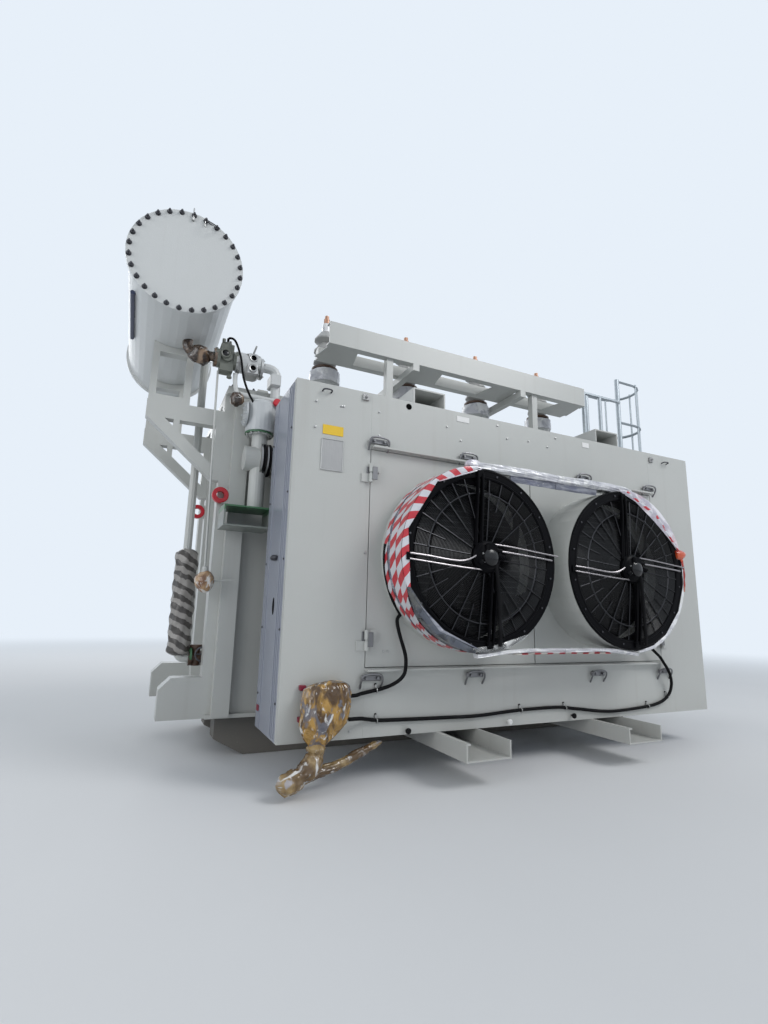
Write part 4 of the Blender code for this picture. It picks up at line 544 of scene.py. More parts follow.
def barrier_tape(name, red, white, pitch, lean=0.75):
    """Red and white slanting stripes along the run of the tape, under small wrinkles."""
    s = Shader(name, coat_weight=0.5, coat_roughness=0.1)
    run = s.node("ShaderNodeAttribute", {"attribute_name": "run"}, output="Vector")
    along, over = s.part_of_place("X", run), s.part_of_place("Y", run)
    wander = s.noise(16, 3)
    stripe = ((along - over * lean + (wander - 0.5) * 0.010) / pitch).maths("FRACT")
    red_part = stripe.rising(0.49, 0.51) * (1 - stripe.rising(0.98, 1.0))
    worn = s.noise(30, 4, twist=1.0).rising(0.5, 0.8)
    inked = s.mix(worn * 0.2, red, shade(red, 0.6))
    bare = s.mix(worn * 0.4, white, (0.52, 0.54, 0.62))
    s.set("Base Color", s.mix(red_part, bare, inked))
    s.set("Roughness", 0.3 + worn * 0.25)
    s.bump(s.creases(14) * 0.6 + s.noise(22, 3), 0.005, 0.7)
    return s


def two_tone(name, lower, upper, level):
    """Paint whose colour changes at a height, with a ragged edge."""
    s = painted(name, lower)
    ragged = s.part_of_place("Z") + s.noise(25) * 0.012
    clouds = s.noise(6, 4)
    top = s.mix(clouds, shade(upper, 0.7), shade(upper, 1.3))
    s.set("Base Color", s.mix(ragged.rising(level, level + 0.004), lower, top))
    return s


def porcelain(name, colour, roughness=0.12):
    """Glazed ware with a faint flow in its glaze."""
    s = Shader(name, coat_weight=0.8, coat_roughness=0.05)
    flow = s.noise(7, 4, (1, 1, 0.4))
    s.set("Base Color", s.mix(flow, shade(colour, 0.85), shade(colour, 1.1)))
    s.set("Roughness", roughness + flow * 0.15)
    s.bump(flow, 0.002)
    return s


def finned(name, colour, pitch=0.006):
    """The oil cooler's block: thin upright fins between level tubes, with painted shade in the gaps between fins.
    """
    s = Shader(name, metallic=0.7)
    x, z = s.part_of_place("X"), s.part_of_place("Z")
    # Painted light and shade: fin faces and tube bands lighter, the gaps between fins darkened to a quarter of the
    # colour.
    fins = (x / pitch).maths("FRACT").rising(0.35, 0.65)
    tubes = (z / (pitch * 7)).maths("FRACT").rising(0.75, 0.8)
    tone = (fins * 0.6 + tubes).clipped()
    s.set("Base Color", s.mix(tone, shade(colour, 0.25), shade(colour, 1.2)))
    s.set("Roughness", 0.45 + s.noise(4) * 0.25)
    s.bump(tone, 0.004)
    return s


class StageSettings(bpy.types.PropertyGroup):
    """The camera, the light and the floor."""

    place: FloatVectorProperty(
        name="Camera place", description="Where the camera stands", default=(-2.56, -4.384, 0.949),
        subtype="XYZ"
    )
    heading: FloatProperty(
        name="Heading", description="Turn from +Y towards +X", default=math.radians(25.24), subtype="ANGLE"
    )
    tilt: FloatProperty(
        name="Tilt", description="Upward look", default=math.radians(10.98), subtype="ANGLE"
    )
    roll: FloatProperty(
        name="Roll", description="Lean of the view", default=math.radians(1.36), subtype="ANGLE"
    )
    lens: FloatProperty(name="Lens", description="Focal length in millimetres", default=18.49)
    floor: FloatVectorProperty(
        name="Floor colour", description="Colour of the floor", default=(0.74, 0.75, 0.76), subtype="COLOR"
    )
    sky: FloatVectorProperty(
        name="Sky colour", description="Colour of the open space", default=(0.80, 0.87, 0.95),
        subtype="COLOR"
    )
    sky_light: FloatProperty(name="Sky light", description="Strength of the open space", default=0.5)
    key_light: FloatProperty(name="Key light", description="Power of the main lamp", default=620.0)


class PaintSettings(bpy.types.PropertyGroup):
    """The colours of the paints."""

    grey: FloatVectorProperty(
        name="Grey paint", description="Tank and cooler paint", default=(0.50, 0.51, 0.49), subtype="COLOR"
    )
    pale: FloatVectorProperty(
        name="Pale paint", description="Conservator paint", default=(0.60, 0.615, 0.61), subtype="COLOR"
    )
    green: FloatVectorProperty(
        name="Green", description="Gaskets and worn green paint", default=(0.05, 0.15, 0.07), subtype="COLOR"
    )
    red: FloatVectorProperty(
        name="Red", description="Red of the tape and eye rings", default=(0.55, 0.015, 0.03), subtype="COLOR"
    )


class FanSettings(bpy.types.PropertyGroup):
    """The wire guards and blades."""

    rings: IntProperty(name="Rings", description="Wire rings in a guard", default=44)
    wire: FloatProperty(name="Wire", description="Thickness of the rings", default=0.004, unit="LENGTH")
    teeth: IntProperty(name="Teeth", description="Teeth on a blade's edge", default=22)
    blades: IntProperty(name="Blades", description="Blades of a fan", default=5)


class PackingSettings(bpy.types.PropertyGroup):
    """The tape and film that the part is packed in."""

    stripe: FloatProperty(name="Stripe", description="Length of two stripes", default=0.112, unit="LENGTH")
    cable: FloatProperty(
        name="Cable", description="Thickness of the fan cables", default=0.022, unit="LENGTH"
    )


def settings(name):
    """One group of the scene's settings."""
    return getattr(bpy.context.scene, name)


def fan_middle(side):
    """The middle of a fan on the front of its door, from the fan's joint."""
    joint = next(j for j in frame["joints"] if j["name"] == f"{side}_fan_spin")
    return np.array(joint["pos_m"])


class Stage(bpy.types.Operator):
    """Sets the camera, the floor and the light."""

    bl_idname = "transformer.stage"
    bl_label = "Stage"

    def execute(self, context):
        s = settings("stage_settings")
        forward = np.array(
            (
                math.sin(s.heading) * math.cos(s.tilt), math.cos(s.heading) * math.cos(s.tilt),
                math.sin(s.tilt)
            )
        )
        right = np.array((math.cos(s.heading), -math.sin(s.heading), 0))
        up = np.cross(right, forward)
        turned_right = right * math.cos(s.roll) + up * math.sin(s.roll)
        turned_up = up * math.cos(s.roll) - right * math.sin(s.roll)
        pose = np.eye(4)
        pose[:3, :3] = np.stack([turned_right, turned_up, -forward], 1)
        pose[:3, 3] = s.place
        camera = bpy.data.objects.new("camera", bpy.data.cameras.new("camera"))
        camera.matrix_world = Matrix(pose.tolist())
        camera.data.lens = s.lens
        camera.data.sensor_width = 36
        camera.data.clip_end = 300
        context.scene.collection.objects.link(camera)
        context.scene.camera = camera
        context.scene.view_settings.view_transform = "Standard"
        self.floor(s)
        self.light(context.scene, s)
        return {"FINISHED"}

    def floor(self, s):
        """A broad pale disc under the part, which fades to the backdrop far out, for the eye alone."""
        ground = Shader("floor", 0.85)
        haze = ground.noise(0.6, 4)
        ground.set("Base Color", ground.mix(haze, shade(tuple(s.floor), 0.97), shade(tuple(s.floor), 1.02)))
        far = ground.node("ShaderNodeVectorMath", {"operation": "LENGTH"}, {0: ground.place}, "Value")
        seen = ground.node("ShaderNodeLightPath", output="Is Camera Ray")
        glow = ground.node("ShaderNodeEmission", {}, {"Color": (*s.sky, 1), "Strength": 1.0})
        share = far.rising(5.0, 17.0) * seen
        blend = ground.node(
            "ShaderNodeMixShader", {}, {0: share, 1: Value(ground, ground.skin.outputs[0]), 2: glow}
        )
        ground.tree.links.new(blend.socket, ground.tree.nodes["Material Output"].inputs["Surface"])
        disc = turned([(60, -0.05), (60, 0)], (0, 0, -0.002), UP, 96)
        piece("floor", disc, None, "floor")

    def light(self, scene, s):
        """The open sky and two broad lamps, one high to the right and one low to the left."""
        world = bpy.data.worlds.new("open space")
        world.use_nodes = True
        sky = world.node_tree.nodes["Background"]
        sky.inputs["Color"].default_value = (*s.sky, 1)
        sky.inputs["Strength"].default_value = s.sky_light
        tree = world.node_tree
        seen = tree.nodes.new("ShaderNodeBackground")
        seen.inputs["Color"].default_value = (*s.sky, 1)
        ray = tree.nodes.new("ShaderNodeLightPath")
        either = tree.nodes.new("ShaderNodeMath")
        either.operation = "MAXIMUM"
        pick = tree.nodes.new("ShaderNodeMixShader")
        tree.links.new(ray.outputs["Is Camera Ray"], either.inputs[0])
        tree.links.new(ray.outputs["Is Glossy Ray"], either.inputs[1])
        tree.links.new(either.outputs[0], pick.inputs[0])
        tree.links.new(sky.outputs[0], pick.inputs[1])
        tree.links.new(seen.outputs[0], pick.inputs[2])
        tree.links.new(pick.outputs[0], tree.nodes["World Output"].inputs["Surface"])
        scene.world = world
        for name, place, size, power in (
            ("key", (5.5, -8.5, 9.5), 5.0, s.key_light),
            ("fill", (-9.0, -5.0, 4.0), 6.0, s.key_light * 0.35),
            ("back", (-3.0, 9.0, 7.0), 6.0, s.key_light * 0.4),
        ):
            lamp = bpy.data.lights.new(name, "AREA")
            lamp.size = size
            lamp.energy = power
            held = bpy.data.objects.new(name, lamp)
            way = unit(np.array((0, 0, 1.2)) - place)
            first, second = across(-way)
            pose = np.eye(4)
            pose[:3, :3] = np.stack([first, second, -way], 1)
            pose[:3, 3] = place
            held.matrix_world = Matrix(pose.tolist())
            scene.collection.objects.link(held)


class Finishes(bpy.types.Operator):
    """Makes the finishes and puts them on the solids."""

    bl_idname = "transformer.finishes"
    bl_label = "Finishes"

    def execute(self, context):
        p, packing = settings("paint_settings"), settings("packing_settings")
        red = tuple(p.red)
        painted("grey paint", tuple(p.grey))
        painted("pale paint", tuple(p.pale), 0.34, grime=0.25)
        # Near-black base: the skids' dark paint, darkened further as painted shade for the shadow under the tank.
        painted("base paint", (0.045, 0.05, 0.052), 0.6, grime=0.8)
        painted("relay paint", (0.155, 0.165, 0.14), 0.42, grime=0.3, ground=0.1)
        # White castings darkened to grey: painted shade over the fittings at the left end.
        painted("cast white", (0.50, 0.52, 0.53), 0.36, grime=0.3)
        painted("green paint", tuple(p.green), 0.45)
        painted("red paint", red, 0.4, grime=0.2)
        painted("yellow sheet", (0.80, 0.52, 0.02), 0.4, grime=0.05)
        painted("white sheet", (0.80, 0.80, 0.79), 0.45, grime=0.05)
        # Casing ends: the sheet's grey, with a blue tint and darkness that are painted sky reflection and shade.
        painted("folded sheet", (0.31, 0.33, 0.385), 0.22, 0.10, 0.12)
        metal("galvanised", (0.42, 0.46, 0.49), 0.42, 0.75, 0.3)
        metal("steel", (0.52, 0.52, 0.51), 0.3, 0.95, 0.1)
        metal("plate metal", (0.40, 0.40, 0.40), 0.45, 0.6, 0.1, (40, 40, 2))
        metal("clamp metal", (0.24, 0.24, 0.25), 0.4, 0.8, 0.1)
        metal("copper", (0.45, 0.26, 0.18), 0.4, 0.9, 0.2)
        satin_black("black coating")
        satin_black("wire black", (0.004, 0.004, 0.005), 0.2, 0.0, 0.55)
        # Lighter metal for the level stays: painted sheen standing for the reflections on their black rods.
        metal("rod metal", (0.34, 0.32, 0.33), 0.25, 0.9, 0.1)
        metal("spoke metal", (0.06, 0.06, 0.065), 0.3, 0.9, 0.1)
        satin_black("black sheath", (0.010, 0.010, 0.011), 0.45, 0.3)
        # Black for holes and slots: painted shade for their dark insides.
        satin_black("dark hole", (0.002, 0.002, 0.002), 0.8, 0.0)
        finned("dark core", (0.12, 0.125, 0.13))
        # In each film the sixth number, lit, is where its painted white highlights begin.
        film(
            "gold film", (0.085, 0.040, 0.009), (0.47, 0.27, 0.06), (0.14, 0.15, 0.19), 0.8, 0.585, 17,
            (1.2, 1.2, 0.5)
        )
        film("tail film", (0.11, 0.06, 0.02), (0.36, 0.25, 0.11), (0.40, 0.40, 0.45), 0.8, 0.575, 8)
        film("white film", (0.62, 0.62, 0.66), (0.84, 0.84, 0.85), (0.40, 0.41, 0.46), 0.5, 0.56, 12)
        film("silver film", (0.46, 0.43, 0.50), (0.80, 0.78, 0.82), (0.55, 0.30, 0.33), 0.5, 0.6, 10)
        film("red film", (0.36, 0.018, 0.010), (0.62, 0.09, 0.025), (0.60, 0.30, 0.20), 0.5, 0.74, 14)
        film("brown film", (0.035, 0.022, 0.016), (0.30, 0.20, 0.13), (0.10, 0.06, 0.045), 0.6, 0.63, 16)
        film("grey film", (0.018, 0.021, 0.028), (0.075, 0.085, 0.11), (0.15, 0.145, 0.12), 0.5, 0.70, 10)
        film("veil film", (0.16, 0.17, 0.22), (0.32, 0.33, 0.38), (0.10, 0.11, 0.2), 0.5, 0.66, 8, (1, 1, 3))
        painted("dark red", (0.20, 0.010, 0.030), 0.4, grime=0.1)
        film("dryer film", (0.20, 0.09, 0.035), (0.50, 0.32, 0.17), (0.75, 0.74, 0.72), 0.8, 0.6, 12)
        film("clear film", (0.35, 0.36, 0.36), (0.60, 0.61, 0.61), (0.2, 0.2, 0.2), 0.5, 0.52, 4, alpha=0.25)
        banded("wound film", ((0.022, 0.017, 0.014), (0.33, 0.31, 0.29)), 0.075, "Z", 0.55)
        banded("ribbed rubber", ((0.35, 0.33, 0.28), (0.025, 0.022, 0.02)), 0.028)
        two_tone("bracket paint", (0.20, 0.22, 0.20), tuple(p.green), 1.60)
        two_tone("bushing paint", (0.42, 0.43, 0.42), (0.38, 0.38, 0.37), 3.01)
        metal("dark steel", (0.10, 0.10, 0.11), 0.45, 0.8, 0.2)
        satin_black("gloss black", (0.006, 0.006, 0.007), 0.12, 0.0, 0.42)
        painted("dark blue strip", (0.03, 0.04, 0.09), 0.3)
        painted("cast brown", (0.07, 0.035, 0.02), 0.5)
        barrier_tape("barrier tape", red, (0.66, 0.66, 0.70), packing.stripe)
        barrier_tape("narrow tape", shade(red, 0.7), (0.56, 0.54, 0.50), packing.stripe * 0.9)
        porcelain("porcelain", (0.40, 0.40, 0.39))
        of_slot = {
            "grey_paint": "grey paint",
            "base_paint": "base paint",
            "dark_core": "dark core",
            "black_fan": "black coating",
            "black_cable": "black sheath",
            "packing_tape": "barrier tape",
            "packing_film": "gold film",
            "relay_paint": "relay paint",
            "cast_white": "cast white",
            "brown_film": "brown film",
            "porcelain": "porcelain",
            "galvanised": "galvanised",
            "green_paint": "green paint",
        }
        special = {
            "cooler_casing": "folded sheet",
            "inlet_bellows": "ribbed rubber",
            "side_bracket": "bracket paint",
            "drain_valve": "cast brown",
            **{f"bushing_{k}": "bushing paint" for k in range(1, 5)},
        }
        pale = ("conservator_shell", "conservator_front_cover", "conservator_rear_cover", "relay_pipe")
        for name, node in frame["nodes"].items():
            finish = of_slot.get(node.material_slots[0].material.name.split(".")[0], "grey paint")
            if name in pale:
                finish = "pale paint"
            finish = special.get(name, finish)
            node.material_slots[0].material = FINISH[finish]
        return {"FINISHED"}


class Guards(bpy.types.Operator):
    """The wire guards, the stays that hold the motors, and the motors' fronts."""

    bl_idname = "transformer.guards"
    bl_label = "Fan guards"

    def execute(self, context):
        s = settings("fan_settings")
        for side in SIDES:
            middle = fan_middle(side)
            body = f"{side}_door"
            low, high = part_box(f"{side}_guard")
            rim, front = (high.x - low.x) / 2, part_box(f"{side}_shroud")[0].y - GUARD_PROUD
            self.grille(side, body, middle, rim, front, s)
            self.stays(side, body, middle, rim, front)
            self.motor(side, body, middle, front)
        return {"FINISHED"}

    def grille(self, side, body, middle, rim, front, s):
        """The nozzle's rolled lip, the close rings of wire dished to the front, and two sets of spokes."""
        low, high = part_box(f"{side}_shroud")
        mouth, inner, deep = (high.x - low.x) / 2 - 0.002, rim * 0.912, 0.174
        face = np.array((middle[0], front, middle[2]))
        lip = [
            (inner, 0.006), (inner + 0.004, 0.001), (inner + 0.012, 0), (inner + 0.016, 0.004),
            (mouth - 0.016, 0.004),
            (mouth - 0.012, 0), (mouth - 0.003, 0.001), (mouth, 0.005), (mouth, 0.0135),
            (inner + 0.034, 0.0135),
            (inner + 0.016, 0.028), (inner + 0.012, deep), (inner, deep),
        ]
        parts = [turned([(r, -a) for r, a in lip], face, OUT, 96, hollow=True)]
        reach = np.linspace(0.105, inner - 0.006, s.rings)
        dish = 0.012 * (1 - (reach / inner) ** 2)
        points, way = circle((0, 0, 0), OUT, 1.0, 88)
        angle = np.arange(4) * TURN / 4
        radius = reach[:, None, None] + s.wire / 2 * np.cos(angle)
        depth = -dish[:, None, None] + 0.010 + s.wire / 2 * np.sin(angle)
        rings = face + radius[..., None] * way[:, None] - depth[..., None] * np.array(OUT)
        wires = together(*(surface(ring, round_u=True, round_v=True) for ring in rings))
        piece(f"{side}_guard_rings", wires, body, "wire black")
        spokes = []
        for count, start, inset, thick in ((16, 0.1, 0.10, 0.0032), (16, 0.1 + TURN / 32, 0.30, 0.0026)):
            way = circle(face, OUT, 1.0, count, start)[1]
            t = np.linspace(inset, inner, 8)
            bow = (0.004 - 0.012 * (1 - (t / inner) ** 2))[:, None] * np.array(OUT)
            spokes += [tube(face + t[:, None] * way[k] - bow, thick, 5) for k in range(count)]
        hoop = circle(face + np.array(OUT) * 0.003, OUT, 0.40, 80)[0]
        spokes.append(tube(hoop, 0.0042, 6, closed=True))
        studs = circle(face + np.array(OUT) * 0.004, OUT, 0.40, 16, 0.1)[0]
        spokes.append(many(bolt(0.006, 0.006, 0.2), stand(studs, OUT)))
        piece(f"{side}_guard_spokes", together(*spokes), body, "spoke metal")
        piece(f"{side}_wire_guard", together(*parts), body, "black coating", (f"{side}_guard",))
        studs = circle(face, OUT, (mouth + inner) / 2, 16, 0.2)[0]
        piece(f"{side}_guard_bolts", many(bolt(0.005, 0.004, 0.2), stand(studs, OUT)), body, "dark steel")

    def stays(self, side, body, middle, rim, front):
        """Four pairs of stays, each pair off to one side of the middle, like a pinwheel."""
        face = np.array((middle[0], front - 0.008, middle[2]))
        right, up = np.array((1.0, 0, 0)), np.array((0, 0, 1.0))
        parts, sheen_rods = [], []
        for quarter in range(4):
            turn = quarter * TURN / 4 - 0.05
            way = math.cos(turn) * right + math.sin(turn) * up
            off = math.cos(turn + TURN / 4) * right + math.sin(turn + TURN / 4) * up
            for gap, thick in ((0.044, 0.0065), (0.082, 0.0055)):
                past = 0.03 if quarter == 0 and gap > 0.05 else -0.02
                bend = np.array([
                    (0.03, gap, 0.022), (0.18, gap, 0.02), (0.42, gap * 0.9, 0.012),
                    (rim + past, gap * 0.85, 0.004),
                ])
                if quarter == 2 and gap < 0.05:
                    bend[0] = (0.05, -0.02, 0.03)
                path = face + bend[:, :1] * way + bend[:, 1:2] * off - bend[:, 2:] * (0, 1, 0)
                # The level pairs take the lighter metal, a painted sheen; the upright pairs stay black.
                (parts if quarter % 2 else sheen_rods).append(tube(smooth_path(path, 0.03), thick, 8))
            foot = face + way * (rim - 0.022) + off * 0.053
            parts.append(block(foot - (0.022, 0.003, 0.022), foot + (0.022, 0.003, 0.022), 0.002))
            if quarter % 2:
                rail = [(0.06, 0.040), (0.06, 0.052), (rim - 0.03, 0.046), (rim - 0.03, 0.036)]
                parts.append(prism(rail, face, way, off, 0.016))
                rail = [(0.06, 0.076), (0.06, 0.088), (rim - 0.03, 0.078), (rim - 0.03, 0.068)]
                parts.append(prism(rail, face, way, off, 0.016))
        piece(f"{side}_motor_stays", together(*parts), body, "black coating")
        piece(f"{side}_stay_rods", together(*sheen_rods), body, "rod metal")

    def motor(self, side, body, middle, front):
        """The motor's ribbed front, its terminal cover, and the thick cable down to the rim."""
        face = np.array((middle[0], front, middle[2]))
        shell = [
            (0.085, -0.006), (0.098, 0.0), (0.100, 0.026), (0.094, 0.032), (0.094, 0.036), (0.088, 0.042),
            (0.060, 0.052), (0.030, 0.056), (0.001, 0.057),
        ]
        parts = [turned(shell, face, OUT, 40)]
        for radius in (0.045, 0.06, 0.075):
            points, way = circle(face, OUT, radius, 40)
            parts.append(tube(points - (0, 0.054 - radius * 0.1, 0), 0.0025, 5, closed=True))
        cover = block(face + (-0.03, -0.072, 0.015), face + (0.05, -0.03, 0.080), 0.014)
        cap = [
            (0.052, 0.045), (0.055, 0.052), (0.052, 0.066), (0.040, 0.074), (0.020, 0.078), (0.001, 0.079)
        ]
        shine = turned(cap, face + (0.004, 0, -0.004), OUT, 40)
        piece(f"{side}_motor_cap", shine, body, "gloss black")
        ribs = [(0.019 - 0.003 * (k % 2), 0.006 * k) for k in range(12)]
        parts.append(turned(ribs, face + (0.052, -0.05, 0.012), unit((1, 0.1, -0.25)), 14))
        parts.append(
            turned(
                [(0.017, 0), (0.019, 0.012), (0.014, 0.03)], face + (-0.05, -0.045, -0.03), (-1, 0, -0.7), 14
            )
        )
        gland = turned(
            [(0.016, 0), (0.016, 0.018), (0.012, 0.02), (0.012, 0.04)], face + (0.05, -0.05, 0.04),
            (1, 0, 0), 12
        )
        low_gland = turned(
            [(0.014, 0), (0.014, 0.02), (0.010, 0.035)], face + (0.03, -0.045, 0.02), (0.3, 0, -1), 12
        )
        piece(
            f"{side}_motor_front", together(*parts, cover, gland, low_gland), body, "black coating",
        )
        route = np.array([
            (0.04, 0.045, -0.02), (0.055, 0.045, -0.08), (0.075, 0.035, -0.20), (0.085, 0.028, -0.34),
            (0.09, 0.026, -0.46), (0.09, 0.022, -0.53),
        ])
        lead = tube(smooth_path(face + route * (1, -1, 1), 0.02), 0.011, 10)
        clips = [
            tube(circle(face + (x, -y, z), (0.05, 0, -1), 0.0135, 16)[0], 0.003, 5, closed=True)
            for x, y, z in route[2:5]
        ]
        piece(f"{side}_motor_lead", together(lead, *clips), body, "black sheath")
        points, way = circle(face, OUT, 0.05, 6, 0.3)
        piece(f"{side}_motor_bolts", many(bolt(0.005), stand(points - (0, 0.052, 0), OUT)), body, "steel")


class Rotors(bpy.types.Operator):
    """The fans' hubs and sickle blades with toothed trailing edges."""

    bl_idname = "transformer.rotors"
    bl_label = "Fan rotors"

    def execute(self, context):
        s = settings("fan_settings")
        for side in SIDES:
            middle = fan_middle(side)
            low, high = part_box(f"{side}_rotor")
            hub_front, hub_back = HUB_FRONT, high.y
            hub = [
                (0.02, 0), (0.096, 0), (0.106, 0.006), (0.11, 0.016), (0.11, 0.09), (0.104, 0.1), (0.02, 0.1)
            ]
            parts = [turned(hub, (middle[0], hub_front, middle[2]), (0, 1, 0), 48)]
            parts.append(
                rod(
                    (middle[0], low.y + 0.002, middle[2]), (middle[0], hub_back - 0.01, middle[2]), 0.018, 16
                )
            )
            centre = np.array((middle[0], (hub_front + hub_back) / 2, middle[2]))
            parts += [self.blade(centre, TURN * k / s.blades, s.teeth) for k in range(s.blades)]
            piece(
                f"{side}_fan_rotor", together(*parts), f"{side}_fan", "black coating",
                (f"{side}_rotor",)
            )
        return {"FINISHED"}

    def blade(self, centre, start, teeth):
        """Chord lines that sweep, widen and flatten outward, thick at the nose, the far edge toothed."""
        rows, half = teeth * 4 + 1, 9
        t = np.linspace(0, 1, rows)[:, None]
        radius = 0.107 + (0.473 - 0.107) * t
        chord = 0.16 + 0.10 * t
        pitch = math.radians(36) - math.radians(16) * t
        tooth = 0.055 * np.abs((t * teeth) % 1 * 2 - 1) * (t > 0.12)
        along = np.concatenate([np.linspace(-0.5, 0.5, half), np.linspace(0.5, -0.5, half)[1:-1]])
        face = np.sign(np.concatenate([np.ones(half), -np.ones(half - 2)]))
        nose = np.clip((0.5 - np.abs(along)) * 8, 0.15, 1)
        s = np.where(along > 0.4, along - tooth, along * np.ones_like(t))
        angle = start + math.radians(38) * t**2 + s * chord * np.cos(pitch) / np.maximum(radius, 0.11)
        lift = s * chord * np.sin(pitch) + 0.02 * (0.25 - s**2) * 4 * t + face * nose * 0.0028
        points = np.stack([radius * np.cos(angle), -lift, radius * np.sin(angle)], -1)
        return surface(centre + points, round_v=True, capped=True)


class Cables(bpy.types.Operator):
    """The two fan cables, each one length from its fan's housing to the bag, and their clips."""

    bl_idname = "transformer.cables"
    bl_label = "Fan cables"

    def execute(self, context):
        thick = settings("packing_settings").cable
        for side, routes in CABLE_ROUTES.items():
            path = from_corner(smooth_path(routes, 0.012))
            cable = piece(f"{side}_cable", tube(path, thick / 2, 12), None, "black sheath")
            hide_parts(f"{side}_cable_lead", f"{side}_fan_cable")
            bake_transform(cable)
        self.clips(thick)
        self.shroud_run(thick)
        return {"FINISHED"}

    def shroud_run(self, thick):
        """The left cable's fixed run round the back of its shroud, down to where the free length starts."""
        middle, start = fan_middle("left"), from_corner(CABLE_ROUTES["left"][0])
        reach = math.hypot(start[0] - middle[0], start[2] - middle[2])
        last = math.atan2(middle[0] - start[0], start[2] - middle[2])
        turn = np.linspace(math.radians(84), last - 0.012, 40)
        radius = np.linspace(0.5785, reach, 40)
        y = np.linspace(-1.535, start[1], 40)
        path = np.stack([middle[0] - radius * np.sin(turn), y, middle[2] + radius * np.cos(turn)], -1)
        piece(
            "left_shroud_cable", tube(path, thick / 2 - 0.001, 12), "left_door", "black sheath",
        )

    def clips(self, thick):
        """A strap round the cable at each place, on a foot with a stud."""
        parts, studs = [], []
        for right, up in CLIPS:
            centre = from_corner((right, 0.02, up))
            ring, way = circle(centre, (1, 0, 0.1), thick * 0.62, 14)
            parts.append(tube(ring, 0.003, 5, closed=True))
            parts.append(block(centre + (-0.006, 0.006, 0.008), centre + (0.006, 0.0195, 0.032), 0.002))
            studs.append(centre + (0, 0.019, 0.03))
        piece("cable_clips", together(*parts), "root", "steel")
        piece("cable_clip_studs", many(bolt(0.006), stand(studs, OUT)), "root", "black sheath")


